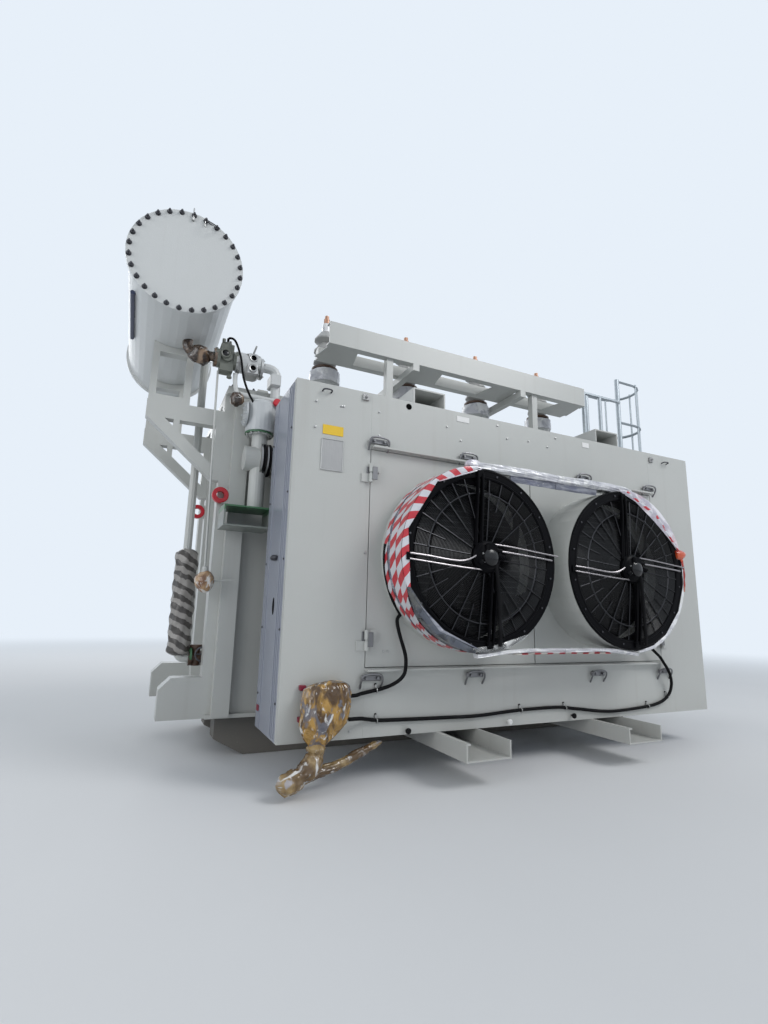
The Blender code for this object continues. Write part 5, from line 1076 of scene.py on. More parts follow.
class Packing(bpy.types.Operator):
    """The barrier tape and film round the fans, and the film bag and bundle at the lower left."""

    bl_idname = "transformer.packing"
    bl_label = "Packing"

    def execute(self, context):
        for side in SIDES:
            self.round_fan(side)
        self.bag()
        self.tail()
        return {"FINISHED"}

    def outline(self, side, radius, rows=260):
        """The run from the doors' meeting line over the fan, round its outer side, and back under it."""
        middle = fan_middle(side)
        level = abs(middle[0]) - 0.001
        run = np.linspace(0, 2 * level + math.pi * radius, rows)
        turn = np.clip((run - level) / radius, 0, math.pi)
        beyond = np.minimum(run - level, 0) + np.minimum(level + math.pi * radius - run, 0)
        x = middle[0] + SIDES[side] * (beyond + radius * np.sin(turn))
        return run, turn, x, middle[2] + radius * np.cos(turn), np.sin(turn) * SIDES[side], np.cos(turn)

    def strip(
        self, name, side, radius, front, width, finish, slot, seed, share=(0, 1), lumps=0.0015, stands_for=()
    ):
        """A thin sheet bent along the outline, its wrinkles a sum of waves.

        Front and width follow the turn.
        """
        run, turn, x, z, out_x, out_z = self.outline(side, radius)
        kept = (run >= run[-1] * share[0]) & (run <= run[-1] * share[1])
        run, turn, x, z, out_x, out_z = (a[kept][:, None] for a in (run, turn, x, z, out_x, out_z))
        over = np.concatenate([np.linspace(0, 1, 9), np.linspace(1, 0, 9)])
        face = np.repeat([1.0, 0.0], 9)
        draw = np.random.default_rng(seed)
        rough = sum(
            np.sin(
                run * draw.uniform(20, 95) + over * draw.uniform(-6, 6) + draw.uniform(0, TURN)
            ) for _ in range(6)
        )
        wide = width(turn) * np.ones_like(run)
        deep = np.maximum(front(turn) + wide * over + rough * 0.0006, -1.7445)
        lift = face * 0.0012 + rough * lumps / 3 + lumps
        points = np.stack([x + out_x * lift, deep * np.ones_like(lift), z + out_z * lift], -1)
        pattern = np.stack([run * np.ones_like(lift), wide * over, lift], -1)
        made = surface(points, round_v=True, capped=True)
        piece(name, made, f"{side}_door", finish, stands_for, run=pattern.reshape(-1, 3), smooth=60)

    def lap(self, name, side, inner, outer, finish, slot, seed, rough=0.004, front=-1.746):
        """A thin sheet over the rim, between two lines of straight runs between (turn, radius) points."""
        middle = fan_middle(side)

        def line(corners):
            turn, radius = np.radians([c[0] for c in corners]), np.array([c[1] for c in corners])
            place = np.linspace(0, len(corners) - 1, 24 * (len(corners) - 1) + 1)
            spots = (radius * np.sin(turn), radius * np.cos(turn))
            return np.stack([np.interp(place, np.arange(len(corners)), spot) for spot in spots], -1)

        near = line(inner)
        far = unit(near) * outer if isinstance(outer, float) else line(outer)
        over = np.concatenate([np.linspace(0, 1, 7), np.linspace(1, 0, 7)])
        face = np.repeat([1.0, 0.0], 7)
        flat = far[:, None] + (near - far)[:, None] * over[:, None]
        run = np.concatenate([[0], np.cumsum(np.linalg.norm(np.diff(far, axis=0), axis=1))])[:, None]
        draw = np.random.default_rng(seed)
        waves = sum(
            np.sin(
                run * draw.uniform(15, 80) + over * draw.uniform(-5, 5) + draw.uniform(0, TURN)
            ) for _ in range(5)
        )
        deep = front - face * 0.0012 - rough * (0.5 + waves / 8) * np.sin(math.pi * over)
        points = np.stack([middle[0] + SIDES[side] * flat[..., 0], deep, middle[2] + flat[..., 1]], -1)
        start = abs(middle[0]) - 0.001 + 0.5715 * math.radians(inner[0][0])
        wide = np.linalg.norm(near - far, axis=1)[:, None]
        pattern = np.stack([start + run * np.ones_like(deep), -wide * over, deep * 0], -1)
        made = surface(points, round_v=True, capped=True)
        piece(name, made, f"{side}_door", finish, run=pattern.reshape(-1, 3), smooth=60)

    def sash(self, name, side, route, tall, deep, finish, slot):
        """A flattened rope of film: superellipse sections along a path across, creased along it."""
        path = np.asarray(smooth_path(route, 0.008))
        angle = np.linspace(0, TURN, 40, endpoint=False)
        reach = (np.abs(np.cos(angle)) ** 3 + np.abs(np.sin(angle)) ** 3) ** (-1 / 3)
        run = path[:, :1]
        crease = 1 + 0.12 * np.sin(5 * angle + run * 9) + 0.08 * np.sin(11 * angle - run * 17)
        y = deep / 2 * reach * np.cos(angle) * crease
        z = tall / 2 * reach * np.sin(angle) * crease
        points = path[:, None] + np.stack([y * 0, y, z], -1)
        pattern = np.stack([run * np.ones_like(z), z, y], -1)
        part = surface(points, round_v=True, capped=True)
        piece(name, part, f"{side}_door", finish, run=pattern.reshape(-1, 3), smooth=60)

    def round_fan(self, side):
        """Windings of barrier tape over grey film, and the film that ties the two fans together."""
        tape = f"{side}_packing_tape"

        def back_share(turn):
            return np.clip((turn - math.radians(110)) / math.radians(22), 0, 1)

        def flat_share(turn):
            return np.clip(1 - turn / 0.35, 0, 1) + np.clip((turn - math.pi + 0.35) / 0.35, 0, 1)

        def lead(first, moved):
            return lambda turn: first + moved * back_share(turn) + (-1.70 - first) * flat_share(turn) * 0.7

        def wide(full):
            return lambda turn: full * (1 - 0.45 * np.clip(flat_share(turn) + back_share(turn), 0, 1))

        self.strip(f"{side}_grey_film", side, 0.567, lead(-1.742, 0.0), wide(0.20), "grey film",
                   "packing_film", 3,
                   lumps=0.002, stands_for=(tape,))
        self.strip(f"{side}_blue_strip", side, 0.5695, lead(-1.596, 0.0), wide(0.036), "veil film",
                   "packing_film", 8,
                   share=(0.22, 0.8))
        windings = ((-1.743, 0.075, 0.074), (-1.668, 0.03, 0.074), (-1.562, -0.02, 0.046))
        for number, (first, moved, full) in enumerate(windings):
            self.strip(f"{side}_barrier_tape_{number}", side, 0.5715 + 0.001 * number, lead(first, moved),
                       wide(full),
                       "barrier tape", "packing_tape", 11 + number,
                       share=(0.0, 1.0) if number < 1 else (0.23, 0.8))
        self.strip(f"{side}_white_film", side, 0.578, lead(-1.735, 0.02), wide(0.11), "white film",
                   "packing_film", 5,
                   share=(0, 0.2), lumps=0.003)
        self.strip(f"{side}_lower_white_film", side, 0.578, lead(-1.72, 0.0), wide(0.10), "white film",
                   "packing_film", 6,
                   share=(0.86, 1), lumps=0.003)
        middle, sign = fan_middle(side), SIDES[side]
        level = middle[2] + 0.583
        top = [(sign * 0.002, -1.712, level), (sign * 0.30, -1.713, level + 0.004),
               (middle[0], -1.712, level),
               (middle[0] + sign * 0.09, -1.708, level - 0.012)]
        self.sash(f"{side}_top_sash", side, top, 0.050, 0.05, "white film", "packing_film")
        under = np.array(top[:2]) * (1.28, 1, 1) + (0, 0.01, -0.040)
        self.sash(f"{side}_sash_veil", side, under, 0.055, 0.012, "veil film", "packing_film")
        low = [(sign * 0.002, -1.712, middle[2] - 0.560), (sign * 0.40, -1.712, middle[2] - 0.563),
               (middle[0] + sign * 0.05, -1.712, middle[2] - 0.588)]
        self.sash(f"{side}_low_sash", side, low, 0.026, 0.05, "white film", "packing_film")
        hem = np.array(low[:2]) - (0, 0.002, 0.016)
        self.sash(f"{side}_low_tape", side, hem, 0.011, 0.05, "narrow tape", "packing_tape")
        getattr(self, f"{side}_laps")(middle)

    def left_laps(self, middle):
        """Tape folded over the left rim, dark film lower down, clear film at the foot, and a knot on top."""
        self.lap("left_tape_lap", "left", [(4, 0.557), (38, 0.551), (76, 0.549), (113, 0.556)], 0.5725,
                 "barrier tape", "packing_tape", 21)
        self.lap("left_edge_silver", "left", [(2, 0.550), (37, 0.543)], [(2, 0.560), (38, 0.553)],
                 "silver film", "packing_film", 26, 0.004, -1.7475)
        self.lap("left_dark_lap", "left", [(111, 0.553), (142, 0.546), (172, 0.552)], 0.574,
                 "grey film", "packing_film", 22)
        self.lap("left_edge_film", "left", [(124, 0.540), (146, 0.528), (172, 0.540)],
                 [(118, 0.554), (144, 0.549), (176, 0.556)], "veil film", "packing_film", 23, 0.006, -1.7475)
        self.lap("left_clear_lap", "left", [(170, 0.548), (190, 0.527), (214, 0.555)], 0.566,
                 "clear film", "packing_film", 24, 0.012)
        knot = lump(middle + (-0.055, -0.262, 0.585), (0.062, 0.028, 0.034), 0.007, 34, 25)
        piece("left_film_knot", knot, "left_door", "silver film", smooth=50)

    def right_laps(self, middle):
        """Film and tape pulled straight over the right shoulder to a tuft, and film down the side."""
        self.lap(
            "right_shoulder_film", "right",
            [(-7, 0.572), (12, 0.512), (38, 0.474), (60, 0.510), (76, 0.574)], 0.578, "silver film",
            "packing_film", 31, 0.01
        )
        self.lap("right_shoulder_tape", "right", [(1, 0.560), (38, 0.512), (75, 0.566)],
                 [(3, 0.574), (38, 0.536), (76, 0.584)],
                 "barrier tape", "packing_tape", 32, 0.006, -1.7495)
        self.lap("right_side_film", "right",
                 [(77, 0.574), (98, 0.570), (120, 0.562), (144, 0.560), (160, 0.562), (176, 0.568)], 0.582,
                 "white film", "packing_film", 33, 0.008)
        self.lap(
            "right_red_trail", "right", [(73, 0.560), (88, 0.570), (104, 0.576)], 0.588, "red film",
            "packing_film", 35, 0.010, -1.7495
        )
        turn = math.radians(76)
        spot = middle + (0.578 * math.sin(turn), -0.275, 0.578 * math.cos(turn))
        horn = [(0.036, -0.05), (0.046, -0.01), (0.036, 0.03), (0.018, 0.06), (0.006, 0.085), (0.001, 0.09)]
        tuft = turned(horn, spot, unit((1, 0, 0.15)), 24)
        piece(
            "right_film_tuft", swell(tuft, 0.007, 38, 34), "right_door", "red film",
            smooth=50
        )

    def bag(self):
        """A pear of film over the terminal box: pleated superellipse sections, drawn in to the neck."""
        low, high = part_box("terminal_box")
        u = np.linspace(0, 1, 84)[:, None]
        angle = np.linspace(0, TURN, 112, endpoint=False)
        power = 2.1 + 1.1 * u
        reach = (np.abs(np.cos(angle)) ** power + np.abs(np.sin(angle)) ** power) ** (-1 / power)
        heights = (0, 0.06, 0.20, 0.35, 0.58, 0.80, 0.91, 0.96, 0.99, 1)
        widths = (0.30, 0.38, 0.72, 0.97, 1.03, 1.0, 0.93, 0.80, 0.52, 0.02)
        wide = np.interp(u, heights, widths)
        fold = np.abs(np.sin(5 * angle + 1.4 * np.sin(u * 5) + 0.6)) - 0.6
        fine = np.abs(np.sin(13 * angle - 2.2 * np.sin(u * 4 + 1))) - 0.6
        pleats = 1 + (
            0.10 * fold + 0.05 * fine
        ) * (1.3 - 0.5 * u) / np.maximum(wide, 0.3) * np.clip(wide, 0, 0.6)
        lean = 0.055 * (1 - u) ** 3
        x = (low.x + high.x) / 2 - lean + (high.x - low.x) / 2 * 1.03 * wide * pleats * reach * np.cos(angle)
        y = (low.y + high.y) / 2 + (high.y - low.y) / 2 * wide * pleats * reach * np.sin(angle)
        z = low.z - 0.035 + (high.z - low.z + 0.04) * u + 0.010 * np.cos(angle) * u
        part = surface(np.stack([x, y, z * np.ones_like(x)], -1), round_v=True, capped=True)
        points, faces = swell(swell(part, 0.006, 13, 4), 0.003, 45, 9)
        points[:, 1] = np.minimum(points[:, 1], high.y - 0.0005)
        piece(
            "film_bag", (points, faces), "root", "gold film", ("terminal_box",), smooth=50,
            levels=1
        )
        clips = [block((low.x - 0.008, -1.475, z - 0.014), (low.x + 0.03, -1.4505, z + 0.014), 0.003)
                 for z in (low.z + 0.105, high.z - 0.030)]
        piece("bag_clips", together(*clips), "root", "dark red")

    def wrapped(self, route, thick, seed, waist, drawn=0.20, taper=0.0):
        """A tube in spiral pleats, drawn in at its ties, round at its ends: thick * (1 + pleats) * waist."""
        path = from_corner(smooth_path(route, 0.005))
        share = np.linspace(0, 1, len(path))[:, None]
        angle = np.linspace(0, TURN, 48, endpoint=False)
        tied = (1 - taper * share) * (1 - drawn) + (1 - taper * share) * drawn * (
            1 - np.exp(-(((share * waist) % 1 - 0.5) / 0.13) ** 2)
        )
        pleats = 1 + 0.10 * (
            np.abs(np.sin(4 * angle + 9 * share)) - 0.6
        ) + 0.05 * np.sin(9 * angle - 25 * share)
        ends = np.sqrt(np.clip(np.minimum(share, 1 - share) / 0.09, 0.01, 1))
        return swell(tube(path, thick * tied * pleats * ends, 48), 0.004, 30, seed)

    def tail(self):
        """The wrapped bundle under the bag, and its end that doubles back under the housing."""
        first = self.wrapped(TAIL_ROUTE, 0.052, 2, 2.6)
        piece("tail_wrap", first, "root", "tail film", ("wrapped_tail",), smooth=50)
        back = self.wrapped(TAIL_RETURN, 0.036, 7, 4.2, 0.08, 0.45)
        piece("tail_return_wrap", back, "root", "tail film", smooth=50)


class Fittings(bpy.types.Operator):
    """The relay, stop valve, pipes, wraps, rings and wheel at the left end, and the conservator's parts."""

    bl_idname = "transformer.fittings"
    bl_label = "Left end fittings"

    def execute(self, context):
        self.relay()
        self.stop_valve()
        self.inlet()
        self.breather()
        self.filler()
        self.rings()
        self.casing_side()
        self.conservator()
        self.bushings()
        return {"FINISHED"}

    def relay(self):
        """A round window, posts on top, a drain cock, bolted flanges, the crumpled wrap and the lead."""
        low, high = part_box("gas_relay")
        middle = np.array(((low.x + high.x) / 2, (low.y + high.y) / 2, (low.z + high.z) / 2))
        spot = (middle[0] - 0.015, low.y, middle[2] + 0.005)
        bezel = turned(
            [(0.024, -0.002), (0.036, -0.002), (0.036, 0.006), (0.031, 0.014), (0.024, 0.012)], spot, OUT,
            32, True
        )
        posts = [rod((middle[0] + x, middle[1], high.z - 0.002), (middle[0] + x, middle[1], high.z + h), r,
                     12)
                 for x, h, r in ((-0.025, 0.035, 0.012), (0.02, 0.025, 0.009), (0.0, 0.045, 0.006))]
        cock = turned([(0.012, 0), (0.012, 0.02), (0.018, 0.024), (0.018, 0.034), (0.006, 0.04)],
                      (middle[0] + 0.03, middle[1], low.z), (0, 0, -1), 14)
        flanges = [plain_flange((low.x, middle[1], middle[2]), LEFT, 0.064, 0.012, 8),
                   plain_flange((high.x, middle[1], middle[2]), (1, 0, 0), 0.064, 0.012, 8)]
        piece("relay_fittings", together(bezel, *posts, cock, *flanges), "root", "relay paint")
        glass = turned([(0.023, -0.001), (0.023, 0.006), (0.018, 0.009), (0.001, 0.010)], spot, OUT, 32)
        piece("relay_window", glass, "root", "gloss black")
        wrap = lump((-2.295, -0.735, 2.70), (0.078, 0.062, 0.066), 0.010, 36, 61)
        piece("outlet_wrap", wrap, "root", "brown film")
        route = [
            (-2.115, -0.74, 2.845), (-2.106, -0.755, 2.868), (-2.07, -0.80, 2.83), (-2.03, -0.835, 2.70),
            (-2.005, -0.855, 2.55), (-1.965, -0.865, 2.44), (-1.925, -0.855, 2.38), (-1.905, -0.835, 2.345),
        ]
        path = smooth_path(route, 0.008)
        lead = piece("relay_lead", tube(path, 0.008, 12), "root", "black sheath")

    def stop_valve(self):
        """A valve body with two round ports between two flanges, an angle block and the level pipe."""
        body = block((-1.985, -0.800, 2.605), (-1.885, -0.665, 2.775), 0.014)
        flanges = [plain_flange((-2.022, -0.735, 2.69), LEFT, 0.068, 0.016, 8),
                   plain_flange((-1.878, -0.735, 2.69), (1, 0, 0), 0.078, 0.018, 8)]
        neck = turned(
            [(0.052, 0), (0.045, 0.04), (0.050, 0.08), (0.045, 0.14)], (-2.02, -0.735, 2.69), (1, 0, 0), 28
        )
        handle = rod((-1.935, -0.735, 2.77), (-1.915, -0.775, 2.845), 0.007, 10)
        ports = [turned([(0.020, -0.004), (0.030, -0.002), (0.030, 0.008), (0.026, 0.012), (0.020, 0.010)],
                        (-1.935, -0.800, z), OUT, 28, True) for z in (2.731, 2.655)]
        piece("stop_valve", together(body, *flanges, neck, handle, *ports), "root", "steel")
        # Painted shade: black discs just inside the two ports.
        holes = [
            turned([(0.0205, 0), (0.0205, 0.006)], (-1.935, -0.800, z), OUT, 28) for z in (2.731, 2.655)
        ]
        piece("stop_valve_ports", together(*holes), "root", "dark hole")
        angle = block((-1.800, -0.795, 2.565), (-1.725, -0.665, 2.655), 0.006)
        route = [(-2.00, -0.745, 2.463), (-1.85, -0.76, 2.455), (-1.70, -0.775, 2.447)]
        pipe = tube(smooth_path(route, 0.02), 0.020, 18)
        drop = tube(
            smooth_path([(-2.045, -0.74, 2.615), (-2.04, -0.74, 2.53), (-2.015, -0.745, 2.44)], 0.02), 0.016,
            14
        )
        piece("level_pipe", together(angle, pipe, drop), "root", "pale paint")
        piece(
            "joint_wrap", lump((-2.02, -0.745, 2.425), (0.044, 0.044, 0.055), 0.008, 44, 62), "root",
            "brown film"
        )

    def inlet(self):
        """Bolts round the inlet valve's flange, a green gasket under it and a red cap."""
        low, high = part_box("inlet_valve")
        side = (low.x - 0.001, (low.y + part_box("inlet_elbow")[1].y) / 2, (low.z + high.z) / 2)
        piece("inlet_flange", plain_flange(side, LEFT, 0.088, 0.012, 8), "root", "cast white")
        left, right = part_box("inlet_elbow")
        centre = ((left.x + right.x) / 2, (left.y + right.y) / 2, right.z - 0.012)
        wide = (right.x - left.x) / 2 + 0.004
        gasket = turned(
            [(wide - 0.03, 0), (wide, 0), (wide, 0.010), (wide - 0.03, 0.010)], centre, UP, 40, True
        )
        piece("inlet_gasket", gasket, "root", "green paint")
        spots = circle(np.array(centre) - (0, 0, 0.002), (0, 0, -1), wide - 0.014, 10, 0.1)[0]
        piece("inlet_bolts", many(bolt(0.009, 0.010), stand(spots, (0, 0, -1))), "root", "steel")
        profile = [(0.082, 0), (0.115, 0.004), (0.115, 0.014), (0.082, 0.018)]
        middle = ((left.y + right.y) / 2, ELBOW_LEVEL)
        for name, places, finish in (
            ("dark", (-1.831, -1.791), "black sheath"), ("light", (-1.851, -1.811), "steel")
        ):
            folds = [turned(profile, (x, *middle), (1, 0, 0), 40, True) for x in places]
            piece(f"bellows_{name}_folds", together(*folds), "root", finish)
        cap = turned(
            [(0.026, 0), (0.028, 0.004), (0.028, 0.03), (0.024, 0.036), (0.001, 0.037)],
            (-1.762, -0.855, 2.400), OUT, 22
        )
        piece("red_cap", cap, "root", "red paint")

    def breather(self):
        """A thin tube down from the relay to a filmed dryer, and the rod that stays it."""
        line = [
            (-2.165, -0.733, 2.612), (-2.160, -0.733, 2.3), (-2.145, -0.733, 1.7), (-2.135, -0.733, 1.17)
        ]
        tubes = tube(smooth_path(line, 0.05), 0.0075, 12)
        stay = rod((-2.09, -0.733, 1.135), (-1.945, -0.733, 1.150), 0.006, 10)
        head = turned(
            [(0.02, 0), (0.024, 0.01), (0.02, 0.04), (0.009, 0.05)], (-2.133, -0.733, 1.185), UP, 20
        )
        piece("breather_tube", together(tubes, stay, head), "root", "grey paint", ("breather",))
        piece(
            "dryer_wrap", lump((-2.131, -0.733, 1.132), (0.066, 0.062, 0.070), 0.006, 30, 63), "root",
            "dryer film"
        )

    def filler(self):
        """Film wound round the filler pipe, and the drain valve's flange and wheel."""
        low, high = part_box("filler_pipe")
        centre = np.array(((low.x + high.x) / 2, (low.y + high.y) / 2, 0))
        z = np.linspace(0.635, 1.375, 90)
        line = centre + np.stack([z * 0, z * 0, z], -1)
        angle = np.linspace(0, TURN, 40, endpoint=False)
        ends = np.sqrt(np.clip(np.minimum(z - z[0], z[-1] - z) / 0.03, 0.05, 1))[:, None]
        thick = 0.074 * ends * (
            1 + 0.05 * np.sin(3 * angle + z[:, None] * 60) + 0.04 * np.sin(7 * angle - z[:, None] * 25)
        )
        piece("filler_wrap", swell(tube(line, thick, 40), 0.003, 40, 64), "root", "wound film")
        low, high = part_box("drain_valve")
        middle = ((low.x + high.x) / 2, (low.y + high.y) / 2, (low.z + high.z) / 2)
        flange = plain_flange((low.x + 0.02, middle[1], middle[2]), LEFT, 0.056, 0.014, 6)
        piece("drain_flange", flange, "root", "green paint")
        hub = np.array((middle[0] + 0.01, low.y - 0.02, middle[2] + 0.01))
        rim = circle(hub, OUT, 0.046, 32)[0]
        arms = [rod(hub, spot, 0.0045, 8) for spot in rim[::8]]
        stem = rod(hub - (0, 0.006, 0), hub + (0, 0.03, 0), 0.007, 10)
        piece("drain_wheel", together(tube(rim, 0.006, 8, closed=True), *arms, stem), "root", "dark steel")

    def rings(self):
        """Red collars round the hauling eyes, from the openings that the record states."""
        for opening in frame["record"]["physics"]["openings"]:
            if opening["name"].startswith("eye_"):
                low, high = np.array(opening["box_m"])
                middle = (low + high) / 2
                start = (middle[0], middle[1] - EYE_COLLAR / 2, middle[2])
                deep = EYE_COLLAR
                collar = [
                    (0.027, 0), (0.052, 0), (0.056, 0.004), (0.056, deep - 0.004), (0.052, deep),
                    (0.027, deep)
                ]
                piece(
                    f"{opening['name']}_collar", turned(collar, start, (0, 1, 0), 36, True), "root",
                    "red paint"
                )

    def casing_side(self):
        """Folds, a knob, a slot and screws on the casing's ends, and a red lug at the lower corner."""
        low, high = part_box("cooler_casing")
        for name, x, way in (("left", low.x, -1), ("right", high.x, 1)):
            folds = [block((x, y - 0.004, low.z + 0.01), (x + way * 0.004, y + 0.004, high.z - 0.01), 0.0015)
                     for y in (-1.372, -1.330, -1.296, -1.02)]
            piece(f"{name}_folds", together(*folds), "root", "folded sheet")
            # The slot is a black lump, painted shade for its inside.
            piece(f"{name}_slot", lump((x, -1.2, 0.98), (0.004, 0.022, 0.052), 0, 1), "root", "dark hole")
            spots = np.array([(x, y, z) for y in (-1.385, -0.95) for z in (0.45, 0.85, 1.25, 1.65, 2.05)])
            piece(
                f"{name}_screws", many(bolt(0.006, 0.005, 0.2), stand(spots, (way, 0, 0))), "root",
                "dark steel"
            )
        piece(
            "casing_knob", lump((low.x - 0.012, -1.2, 1.27), (0.024, 0.045, 0.018), 0, 1), "root",
            "dark steel"
        )
        piece(
            "corner_lug", block((low.x - 0.010, -1.005, 0.35), (low.x - 0.0005, -0.965, 0.385), 0.004),
            "root", "dark red"
        )

    def conservator(self):
        """The vent pin and wire loop on the front cover, and the strip along the shell's far side."""
        low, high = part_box("conservator_front_cover")
        axis = np.array(((low.x + high.x) / 2, low.y, (low.z + high.z) / 2))
        pin = turned(
            [(0.008, 0), (0.008, 0.02), (0.0045, 0.024), (0.0045, 0.085), (0.001, 0.092)],
            axis + (0.012, -0.010, 0.290), UP, 12
        )
        foot = rod(axis + (0.012, 0.0, 0.298), axis + (0.012, -0.016, 0.298), 0.010, 12)
        second = rod(axis + (0.085, -0.008, 0.275), axis + (0.085, -0.012, 0.335), 0.004, 10)
        loop = tube(
            circle(axis + (0.135, -0.034, 0.285), unit((0.3, -0.6, 1)), 0.042, 28)[0], 0.0035, 7, closed=True
        )
        piece("vent_pin", together(pin, foot, second), "root", "steel")
        piece("wire_loop", loop, "root", "dark steel")
        turn = math.radians(213)
        way = np.array((math.cos(turn), 0, math.sin(turn)))
        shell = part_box("conservator_shell")
        line = np.array([axis + way * 0.346 + (0, y, 0) for y in (0.20, 0.84)])
        posts = [
            rod(
                axis + way * 0.328 + (0, y, 0), axis + way * 0.35 + (0, y, 0), 0.010, 10
            ) for y in (0.22, 0.52, 0.82)
        ]
        piece("level_strip", together(rod(line[0], line[1], 0.014, 14), *posts), "root", "dark blue strip")
        for name, y in (("front", shell[0].y + 0.014), ("rear", shell[1].y - 0.014)):
            weld = tube(circle((axis[0], y, axis[2]), OUT, 0.3325, 72)[0], 0.004, 6, closed=True)
            piece(f"{name}_shell_weld", weld, "root", "pale paint")

    def bushings(self):
        """White film and a dark band round each bushing's foot, and a wrapped tip with a cap."""
        for number in range(1, 5):
            low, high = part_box(f"bushing_{number}")
            centre = np.array(((low.x + high.x) / 2, (low.y + high.y) / 2, 0))
            z = np.linspace(2.93, 3.075, 22)
            ends = np.sqrt(np.clip(np.minimum(z - z[0], z[-1] - z) / 0.02, 0.05, 1))
            line = centre + np.stack([z * 0, z * 0, z], -1)
            wrap = swell(tube(line, 0.05 + 0.086 * ends, 40), 0.006, 26, 70 + number)
            piece(f"bushing_{number}_wrap", wrap, "root", "white film")
            band = turned(
                [(0.10, 3.070), (0.118, 3.074), (0.118, 3.094), (0.10, 3.098)], centre, UP, 40, True
            )
            piece(f"bushing_{number}_band", band, "root", "cast brown")
            top = high.z + TIP_RISE
            tip = [
                (0.026, top - 0.085), (0.028, top - 0.04), (0.020, top - 0.036), (0.020, top - 0.004),
                (0.010, top)
            ]
            piece(
                f"bushing_{number}_tip", swell(turned(tip, centre, UP, 20), 0.002, 60, number), "root",
                "copper"
            )
            cap = [(0.036, top - 0.19), (0.040, top - 0.13), (0.036, top - 0.09), (0.024, top - 0.080)]
            wrap = swell(turned(cap, centre, UP, 24), 0.003, 50, number + 9)
            piece(f"bushing_{number}_tip_wrap", wrap, "root", "white film")


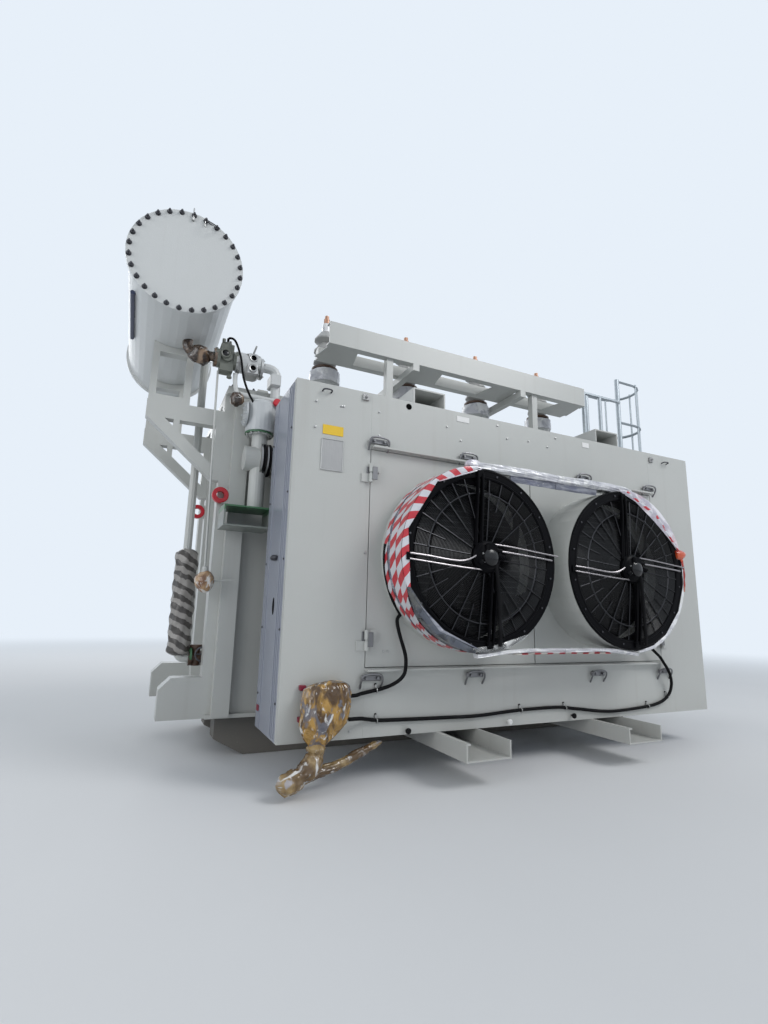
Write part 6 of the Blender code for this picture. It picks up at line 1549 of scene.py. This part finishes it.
class Fasteners(bpy.types.Operator):
    """Bolts, hinges, clamps, screws, lugs and bare plates on cooler, gantry, cover and conservator."""

    bl_idname = "transformer.fasteners"
    bl_label = "Fasteners and plates"

    def execute(self, context):
        low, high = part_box("conservator_front_cover")
        axis = ((low.x + high.x) / 2, (low.z + high.z) / 2)
        ring = (high.x - low.x) / 2 - 0.018
        for name, y, way in (
            ("front", low.y, OUT), ("rear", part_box("conservator_rear_cover")[1].y, (0, 1, 0))
        ):
            points = circle((axis[0], y, axis[1]), way, ring, 28, 0.05)[0]
            piece(
                f"{name}_cover_bolts", many(bolt(0.0125, 0.015, 0.9), stand(points, way)), "root",
                "dark steel"
            )
        self.hinges()
        self.clamps()
        self.screws()
        self.plates()
        self.top_band()
        self.gantry()
        return {"FINISHED"}

    def hinges(self):
        """Each door's two hinges: a leaf on the panel, a leaf on the door and a knuckle with a pin."""
        for side, sign in SIDES.items():
            for number, up in enumerate(HINGE_HEIGHTS):
                foot = np.array((sign * 1.28, PANEL_FRONT, 0.25 + up))
                fixed = block(
                    foot + (sign * 0.002, -0.006, -0.045), foot + (sign * 0.024, -0.0005, 0.045), 0.002
                )
                knuckle = rod(foot + (0, -0.011, -0.045), foot + (0, -0.011, 0.045), 0.0075, 14)
                moving = block(
                    foot + (-sign * 0.004, -0.040, -0.042), foot + (-sign * 0.036, -0.0345, 0.042), 0.002
                )
                piece(f"{side}_hinge_fixed_{number}", together(fixed, knuckle), "root", "clamp metal")
                piece(f"{side}_hinge_leaf_{number}", moving, f"{side}_door", "clamp metal")

    def clamps(self):
        """A plate with two studs and a bent strap that holds the panel over each seam."""
        wire = np.array([(-0.05, 0.0, -0.045), (-0.052, 0.025, -0.01), (-0.042, 0.032, 0.012),
                         (0.0, 0.035, 0.018),
                         (0.042, 0.032, 0.012), (0.052, 0.025, -0.01), (0.05, 0.0, -0.045)])
        bent = smooth_path(wire * (1, -1, 1), 0.008)
        shape = together(
            tube(bent, 0.005, 7),
            block((-0.05, -0.016, -0.012), (0.05, -0.008, 0.012), 0.002),
            rod((-0.028, -0.0005, 0), (-0.028, -0.03, 0), 0.006, 8),
            rod((0.028, -0.0005, 0), (0.028, -0.03, 0), 0.006, 8),
        )
        places = np.tile(np.diag((1.3, 1.1, 1.3, 1.0)), (len(CLAMPS), 1, 1))
        places[:, :3, 3] = from_corner([(right, 0, up) for right, up in CLAMPS])
        piece("panel_clamps", many(shape, places), "root", "clamp metal")

    def screws(self):
        """Small screws where the panels are fixed, and knobs along the lower edge."""
        spots = from_corner([(right, 0.0, up) for right, up in SCREWS])
        piece("panel_screws", many(bolt(0.007, 0.006, 0.3), stand(spots, OUT)), "root", "steel")
        for number, (right, up, finish) in enumerate(KNOBS):
            foot = from_corner((right, 0.0, up))
            knob = turned(
                [(0.005, 0.0005), (0.005, 0.02), (0.016, 0.022), (0.018, 0.034), (0.012, 0.04)], foot, OUT,
                20
            )
            piece(f"edge_knob_{number}", knob, "root", finish)

    def top_band(self):
        """Lugs with a bolt, two small bow handles and a round hole on the cooler's top band."""
        lugs = [block(from_corner((right - 0.022, 0.014, up - 0.022)),
                      from_corner((right + 0.022, 0.0005, up + 0.022)), 0.003)
                for right, up in LUGS]
        spots = from_corner([(right, 0.014, up) for right, up in LUGS])
        piece(
            "band_lugs", together(*lugs, many(bolt(0.009, 0.009, 0.6), stand(spots, OUT))), "root",
            "plate metal"
        )
        bow = np.array([(-0.028, 0.0, 0), (-0.028, 0.02, 0.004), (-0.016, 0.03, 0.006), (0.016, 0.03, 0.006),
                        (0.028, 0.02, 0.004),
                        (0.028, 0.0, 0)])
        bows = [tube(smooth_path(from_corner(bow + (right, 0, up)), 0.008), 0.005, 8) for right, up in BOWS]
        piece("band_handles", together(*bows), "root", "dark steel")
        # The hole is a black disc, painted shade for its inside.
        hole = turned([(0.021, 0), (0.021, 0.0015)], from_corner((BAND_HOLE[0], 0, BAND_HOLE[1])), OUT, 28)
        piece("band_hole", hole, "root", "dark hole")

    def gantry(self):
        """Bolts under the tie plates, one screw on the front beam, and bolts round the tank's cover."""
        low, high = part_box("gantry_front_beam")
        rows = [(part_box(f"bushing_{k}")[0].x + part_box(f"bushing_{k}")[1].x) / 2 for k in range(1, 5)]
        spots = [(x + dx, high.y + dy, low.z) for x in rows for dx in (-0.09, 0.09) for dy in (0.04, 0.11)]
        piece("plate_bolts", many(bolt(0.011, 0.010, 0.9), stand(spots, (0, 0, -1))), "root", "steel")
        piece(
            "beam_screw", many(bolt(0.008, 0.006, 0.2), stand((rows[0] + 0.10, low.y, low.z + 0.11), OUT)),
            "root", "dark steel"
        )
        low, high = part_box("tank_cover")
        top, inset = low.z + COVER_THICK, 0.03
        long_way = np.linspace(low.x + inset, high.x - inset, 28)
        short_way = np.linspace(low.y + inset, high.y - inset, 10)[1:-1]
        spots = [(x, y, top) for x in long_way for y in (low.y + inset, high.y - inset)]
        spots += [(x, y, top) for y in short_way for x in (low.x + inset, high.x - inset)]
        piece("cover_edge_bolts", many(bolt(0.014, 0.013, 0.8), stand(spots, UP)), "root", "dark steel")

    def plates(self):
        """The bare labels and the bare rating plate."""
        for name, left, right, low, high, finish in PLATES:
            corner, far = from_corner((left, 0.0035, low)), from_corner((right, 0.0005, high))
            piece(name, block(corner, far, 0.0012), "root", finish)
        left, right, low, high = PLATES[1][1:5]
        rim = [(left, low), (right, low), (right, high), (left, high)]
        edge = from_corner([(x, 0.004, z) for x, z in rim])
        parts = [rod(edge[k], edge[(k + 1) % 4], 0.003, 6) for k in range(4)]
        piece("rating_plate_rim", together(*parts), "root", "steel")


CLASSES = (
    StageSettings, PaintSettings, FanSettings, PackingSettings,
    Stage, Finishes, Guards, Rotors, Cables, Packing, Fittings, Fasteners,
)
GROUPS = {
    "stage_settings": StageSettings,
    "paint_settings": PaintSettings,
    "fan_settings": FanSettings,
    "packing_settings": PackingSettings,
}
STEPS = ("stage", "finishes", "cables", "guards", "rotors", "packing", "fittings", "fasteners")


class TransformerPanel(bpy.types.Panel):
    """Lists the settings and the steps in the sidebar."""

    bl_idname = "VIEW3D_PT_transformer"
    bl_label = "Power transformer"
    bl_space_type = "VIEW_3D"
    bl_region_type = "UI"
    bl_category = "Transformer"

    def draw(self, context):
        for step in STEPS:
            self.layout.operator(f"transformer.{step}")
        for name, group in GROUPS.items():
            box = self.layout.box()
            for entry in group.__annotations__:
                box.prop(getattr(context.scene, name), entry)


def register():
    for made in (*CLASSES, TransformerPanel):
        bpy.utils.register_class(made)
    for name, group in GROUPS.items():
        setattr(bpy.types.Scene, name, PointerProperty(type=group))


def unregister():
    for name in GROUPS:
        delattr(bpy.types.Scene, name)
    for made in reversed((*CLASSES, TransformerPanel)):
        bpy.utils.unregister_class(made)


def main():
    register()
    for step in STEPS:
        getattr(bpy.ops.transformer, step)()


if __name__ == "__main__":
    main()
